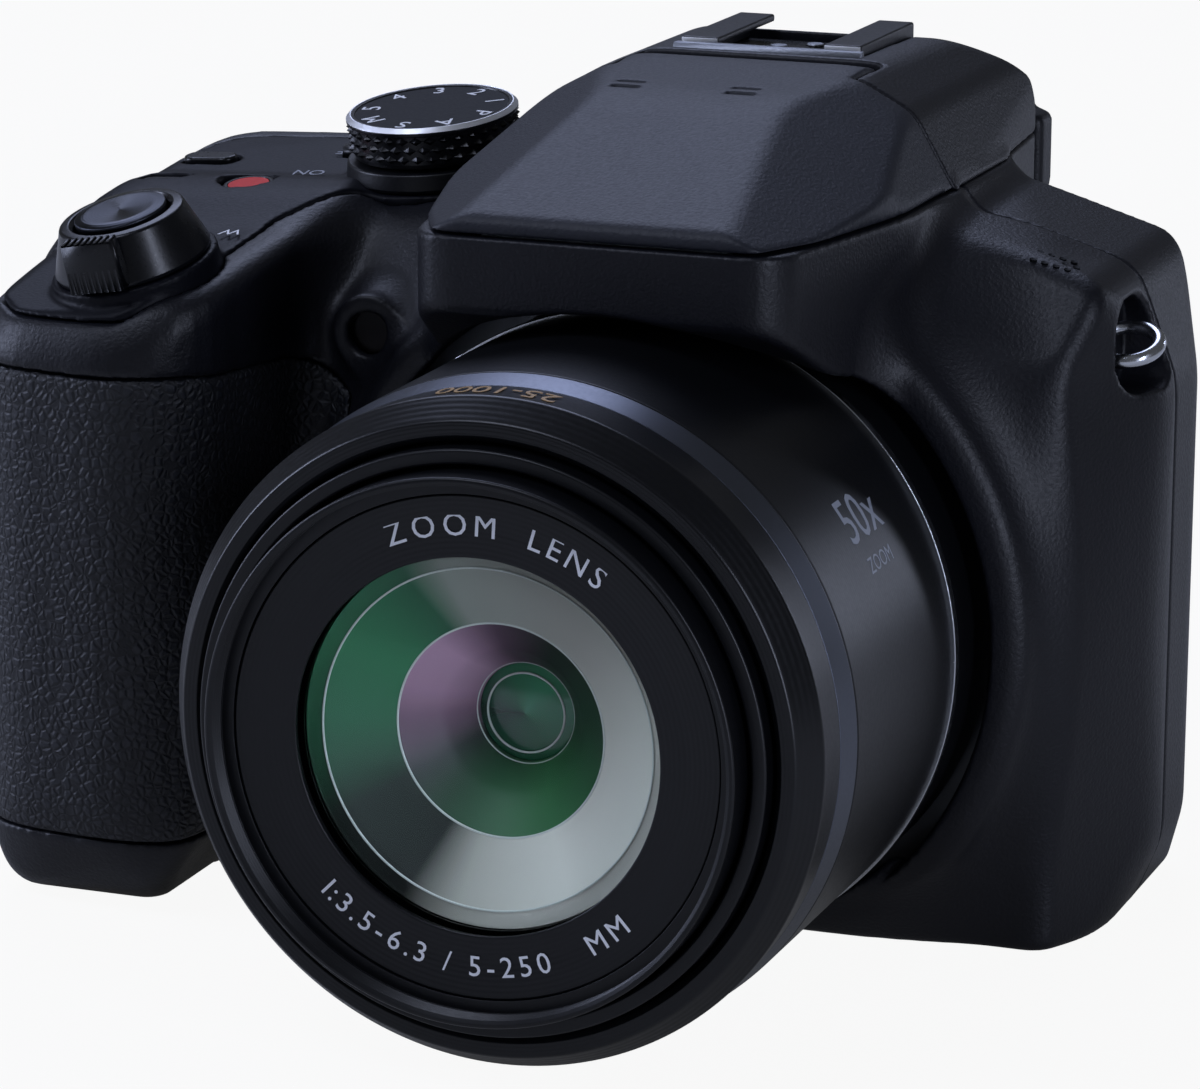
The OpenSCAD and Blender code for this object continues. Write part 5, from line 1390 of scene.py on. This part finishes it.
# %% Shoe strip and rail ends
strip = prism([(-11.4, 13.3), (11.4, 13.3), (11.4, 14.8), (-11.4, 14.8)], 91.5, 93.75, 0.03)
settle(shaped("shoe_front_strip", strip), "case", strip_metal)
end_shape = [(9.35, 92.3), (10.6, 92.3), (10.6, 94.15), (6.4, 94.15), (6.4, 93.45), (9.35, 93.45)]
for side_name, way in (("left", -1), ("right", 1)):
    points = [(way * x, y, z) for y in (14.85, 15.12) for x, z in end_shape]
    faces = [tuple(range(6)), tuple(range(6, 12))[::-1]]
    faces += [(i, (i + 1) % 6, 6 + (i + 1) % 6, 6 + i) for i in range(6)]
    settle(shaped(f"shoe_rail_end_{side_name}", (points, faces)), "case", cut_edge)
CONTACTS = [(0, 9, 1.9), (-3.6, 13.5, 1.05), (3.6, 13.5, 1.05), (0, 16, 1.05)]
for number, (x, y, radius) in enumerate(CONTACTS, 1):
    place = Matrix.Translation((x, SHOE_FRONT + y, SHOE_FLOOR + 0.2))
    disc = [(0, 0), (radius, 0), (radius - 0.1, 0.14, 0.03), (0, 0.18)]
    lathe(f"shoe_contact_{number}", disc, place, 40, "case", strip_metal, corner=0.01)
print("shoe contacts", len(CONTACTS))

# %% [markdown]
# The plain shoulder has three rows of small speaker holes, made as painted shade: dark discs a hair
# proud of the skin, which read as holes at under a millimetre wide. Real holes in the field would need
# a far finer grid.

# %% Speaker holes
SPEAKER_AT, SPEAKER_NORMAL = Vector((39.0, -4.3, 75.45)), Vector((0.22, -0.14, 0.97))
HOLE_R, HOLE_PITCH, HOLE_ROWS, ROW_HOLES = 0.4, 1.3, 3, 4
lean = Vector((0, 0, 1)).rotation_difference(SPEAKER_NORMAL)
on_shoulder = Matrix.Translation(SPEAKER_AT) @ lean.to_matrix().to_4x4()
angles = np.linspace(0, 2 * math.pi, 12, endpoint=False)
# Each hole is a dark disc of painted shade standing a hair proud, not an opening.
hole = prism([(HOLE_R * math.cos(a), HOLE_R * math.sin(a)) for a in angles], -0.4, 0.06, 0.01)
for row in range(HOLE_ROWS):
    row_start = Matrix.Translation(((row % 2 / 2 - 1.5) * HOLE_PITCH, (row - 1) * HOLE_PITCH, 0))
    settle(repeated(f"speaker_holes_{row + 1}", hole, on_shoulder @ row_start, dial_face, ROW_HOLES,
                    step=(HOLE_PITCH, 0, 0)), "case", dial_face)

# %% [markdown]
# Printing. Only plain numbers and common words are printed: the power positions, the zoom ends, the
# mode letters and the zoom range. Letters are turned into thin meshes that lie on their surface. A
# picture of the letters would be easier, but it blurs, and it would have to be unwrapped on the rings.

# %% Letters
gold_print = ink("gold_print", "#a8875a", 0.4)
grey_print = ink("grey_print", "#8c9099", 0.45)
LETTER_T = 0.05


def letter_shape(text, size):
    """Points in millimetres and faces of a flat text, its middle at the origin."""
    data = bpy.data.curves.new("letters", "FONT")
    data.body = text
    data.size = size
    data.extrude = LETTER_T / 2
    data.resolution_u = 3
    data.align_x, data.align_y = "CENTER", "CENTER"
    holder = bpy.data.objects.new("letters", data)
    scene.collection.objects.link(holder)
    mesh = evaluated_mesh(holder)
    points = np.array([v.co for v in mesh.vertices]).reshape(-1, 3)
    faces = [tuple(f.vertices) for f in mesh.polygons]
    bpy.data.objects.remove(holder)
    bpy.data.meshes.remove(mesh)
    return points, faces


def printed(name, shapes, body, material):
    """One piece of several letter shapes that are already in place."""
    points, faces, start = [], [], 0
    for shape_points, shape_faces in shapes:
        points.append(shape_points)
        faces += [tuple(start + i for i in face) for face in shape_faces]
        start += len(shape_points)
    piece = new_piece(name, np.concatenate(points), faces)
    piece.data.shade_flat()
    return settle(piece, body, material)


def placed(shape, place):
    """A shape moved to a place."""
    points, faces = shape
    return points @ np.array(place.to_3x3()).T + np.array(place.translation), faces


def flat_text(text, size, place):
    """A word lying flat on a place."""
    return placed(letter_shape(text, size), place)


print("inks", white_print.name, gold_print.name, grey_print.name)


# %% Letters on rings and barrels
def ring_text(text, size, radius, height, middle_deg, place, outward, spacing=1.16):
    """Letters round a circle, their tops outwards or inwards, on a face across the place's axis."""
    shapes = [letter_shape(c, size) if c != " " else None for c in text]
    widths = [np.ptp(q[0][:, 0]) + 0.16 * size if q else 0.36 * size for q in shapes]
    along = np.cumsum(widths) - np.array(widths) / 2 - sum(widths) / 2
    way = -1 if outward else 1
    result = []
    for shape, distance in zip(shapes, along * spacing):
        if shape is None:
            continue
        angle = math.radians(middle_deg) + way * distance / radius
        turn = angle - math.pi / 2 if outward else angle + math.pi / 2
        spot = place @ Matrix.Translation((radius * math.cos(angle), radius * math.sin(angle), height))
        result.append(placed(shape, spot @ Matrix.Rotation(turn, 4, "Z")))
    return result


def wrapped(shape, radius, angle_deg, along_mm, way):
    """A text bent round the lens barrel; way 0 runs along the barrel, 1 round it."""
    points, faces = shape
    u, v = (points[:, 1], points[:, 0]) if way == 0 else (points[:, 0], points[:, 1])
    angle = math.radians(angle_deg) + u / radius
    forward = along_mm - v if way == 0 else along_mm + v
    r = radius + 0.02 + points[:, 2]
    return np.stack([r * np.cos(angle), -forward, LENS_Z + r * np.sin(angle)], 1), faces


print("letter thickness", LETTER_T, "mm")

# %% [markdown]
# The prints themselves, each riding on the body that carries it: the dial's marks turn with the dial,
# and the ring's words slide out with the lens. Words on the deck are read from behind the camera.

# %% Prints
mode_marks = []
for i, mark in enumerate(("M", "S", "A", "P", "1", "2", "3", "4", "5")):
    mode_marks += ring_text(mark, 3.2, 7.1, DIAL_TOP - 0.16, -135 + 40 * i, on_dial, True)
printed("mode_dial_letters", mode_marks, "mode_dial", white_print)


def on_deck(at, tilt=DECK_TILT, lift=0.0):
    """A place on the deck whose text is read from behind the camera."""
    return tilted(at, tilt) @ Matrix.Translation((0, 0, lift)) @ Matrix.Rotation(math.pi, 4, "Z")


DECK_LETTER, NAME_R, NAME_FACE = 2.5, 22.9, 74.14
power_words = [flat_text("ON", DECK_LETTER, on_deck((-52.6, 5.2), lift=0.5)),
               flat_text("OFF", DECK_LETTER, on_deck((-51, 14.6), lift=0.2))]
printed("power_words", power_words, "case", grey_print)
wide_mark = flat_text("W", DECK_LETTER, on_deck((-52.6, -16.5), lift=0.1))
printed("zoom_marks", [wide_mark], "case", white_print)
name_words = ring_text("ZOOM  LENS", 3.3, NAME_R, NAME_FACE, 84, LENS, True)
name_words += ring_text("1:3.5-6.3 / 5-250   MM", 3.1, NAME_R, NAME_FACE, -90, LENS, False)
printed("name_ring_words", name_words, "zoom_stage_two", white_print)
ring_numbers = wrapped(letter_shape("25-1000", 4.0), 35.02, 91, 66.2, 1)
printed("front_ring_numbers", [ring_numbers], "case", gold_print)
barrel_words = [wrapped(letter_shape("50x", 7.0), BARREL_R, 33, 42.5, 0),
                wrapped(letter_shape("ZOOM", 2.4), BARREL_R, 25.0, 42.5, 0)]
printed("barrel_words", barrel_words, "case", grey_print)
print("letters on the dial", len(mode_marks), "on the name ring", len(name_words))

# %% [markdown]
# Studio. A white floor runs far behind the camera. It shows nearly pure white to the lens and a little
# white in reflections, and keeps a soft shadow. Large soft lamps stand where the photograph's highlights
# come from: high behind on the left for the deck and lid, on the left for the grip, and a strip in front
# on the right. A picture of a studio could light it too, but lamps can be placed one by one for each
# highlight.

# %% Floor
def plain_white(tree, to_camera, in_mirrors):
    """How much plain white a ray sees: nearly all from the camera, and a little in reflections."""
    path = add(tree, "ShaderNodeLightPath").outputs
    seen = add(tree, "ShaderNodeMath", {0: path["Is Camera Ray"], 1: to_camera}, operation="MULTIPLY")
    mirrored = add(tree, "ShaderNodeMath", {0: path["Is Glossy Ray"], 1: path["Is Transmission Ray"]},
                   operation="MAXIMUM")
    return add(tree, "ShaderNodeMath", {0: mirrored.outputs[0], 1: in_mirrors, 2: seen.outputs[0]},
               operation="MULTIPLY_ADD").outputs[0]


FLOOR_Z = -0.0002
floor_material, tree, shader = finish("white_studio_floor", "#c9c9c9", Roughness=0.9)[:3]
white = add(tree, "ShaderNodeEmission", {"Color": (1, 1, 1, 1), "Strength": 1.0})
mix = add(tree, "ShaderNodeMixShader",
          {0: plain_white(tree, 0.93, 0.10), 1: shader.outputs[0], 2: white.outputs[0]})
tree.links.new(mix.outputs[0], tree.nodes["Material Output"].inputs["Surface"])
floor_mesh = bpy.data.meshes.new("studio_floor")
floor_corners = [(-4, -4, FLOOR_Z), (4, -4, FLOOR_Z), (4, 6, FLOOR_Z), (-4, 6, FLOOR_Z)]
floor_mesh.from_pydata(floor_corners, [], [(0, 1, 2, 3)])
floor = bpy.data.objects.new("studio_floor", floor_mesh)
floor_mesh.materials.append(floor_material)
scene.collection.objects.link(floor)
print("floor", tuple(round(c, 2) for c in floor.dimensions), "m")

# %% World
world = bpy.data.worlds.new("studio_world")
world.use_nodes = True
scene.world = world
tree = world.node_tree
sky = tree.nodes["Background"]
sky.inputs["Color"].default_value = linear("#9aa0ab")
sky.inputs["Strength"].default_value = 0.10
white = add(tree, "ShaderNodeBackground", {"Color": (1, 1, 1, 1), "Strength": 1.0})
mix = add(tree, "ShaderNodeMixShader",
          {0: plain_white(tree, 1.0, 0.05), 1: sky.outputs[0], 2: white.outputs[0]})
tree.links.new(mix.outputs[0], tree.nodes["World Output"].inputs["Surface"])
print("sky strength", round(sky.inputs["Strength"].default_value, 2))


# %% Lamps
def softbox(name, place, aim, size, power, colour="#ffffff"):
    """A rectangular lamp that faces a point, with places in metres."""
    data = bpy.data.lights.new(name, "AREA")
    data.shape = "RECTANGLE"
    data.size, data.size_y = size
    data.energy = power
    data.color = linear(colour)[:3]
    lamp = bpy.data.objects.new(name, data)
    lamp.location = place
    lamp.rotation_euler = (Vector(aim) - Vector(place)).to_track_quat("-Z", "Y").to_euler()
    scene.collection.objects.link(lamp)
    return lamp


softbox("top_back_box", (-0.42, 0.75, 0.95), (0, 0, 0.06), (0.8, 0.6), 5.5, "#cfdaff")
softbox("left_box", (-1.0, -0.20, 0.40), (0, -0.02, 0.05), (0.25, 0.6), 6, "#d3ddff")
softbox("right_strip", (0.85, -0.55, 0.30), (0.02, -0.02, 0.05), (0.14, 0.6), 4, "#dbe4ff")
softbox("high_front_box", (-0.35, -0.60, 1.10), (0, -0.02, 0.05), (0.5, 0.35), 4, "#dbe4ff")
softbox("right_back_strip", (0.56, 0.95, 0.10), (0.03, -0.04, 0.04), (0.05, 0.5), 1.0, "#dbe4ff")
print("lamps", len(bpy.data.lights))
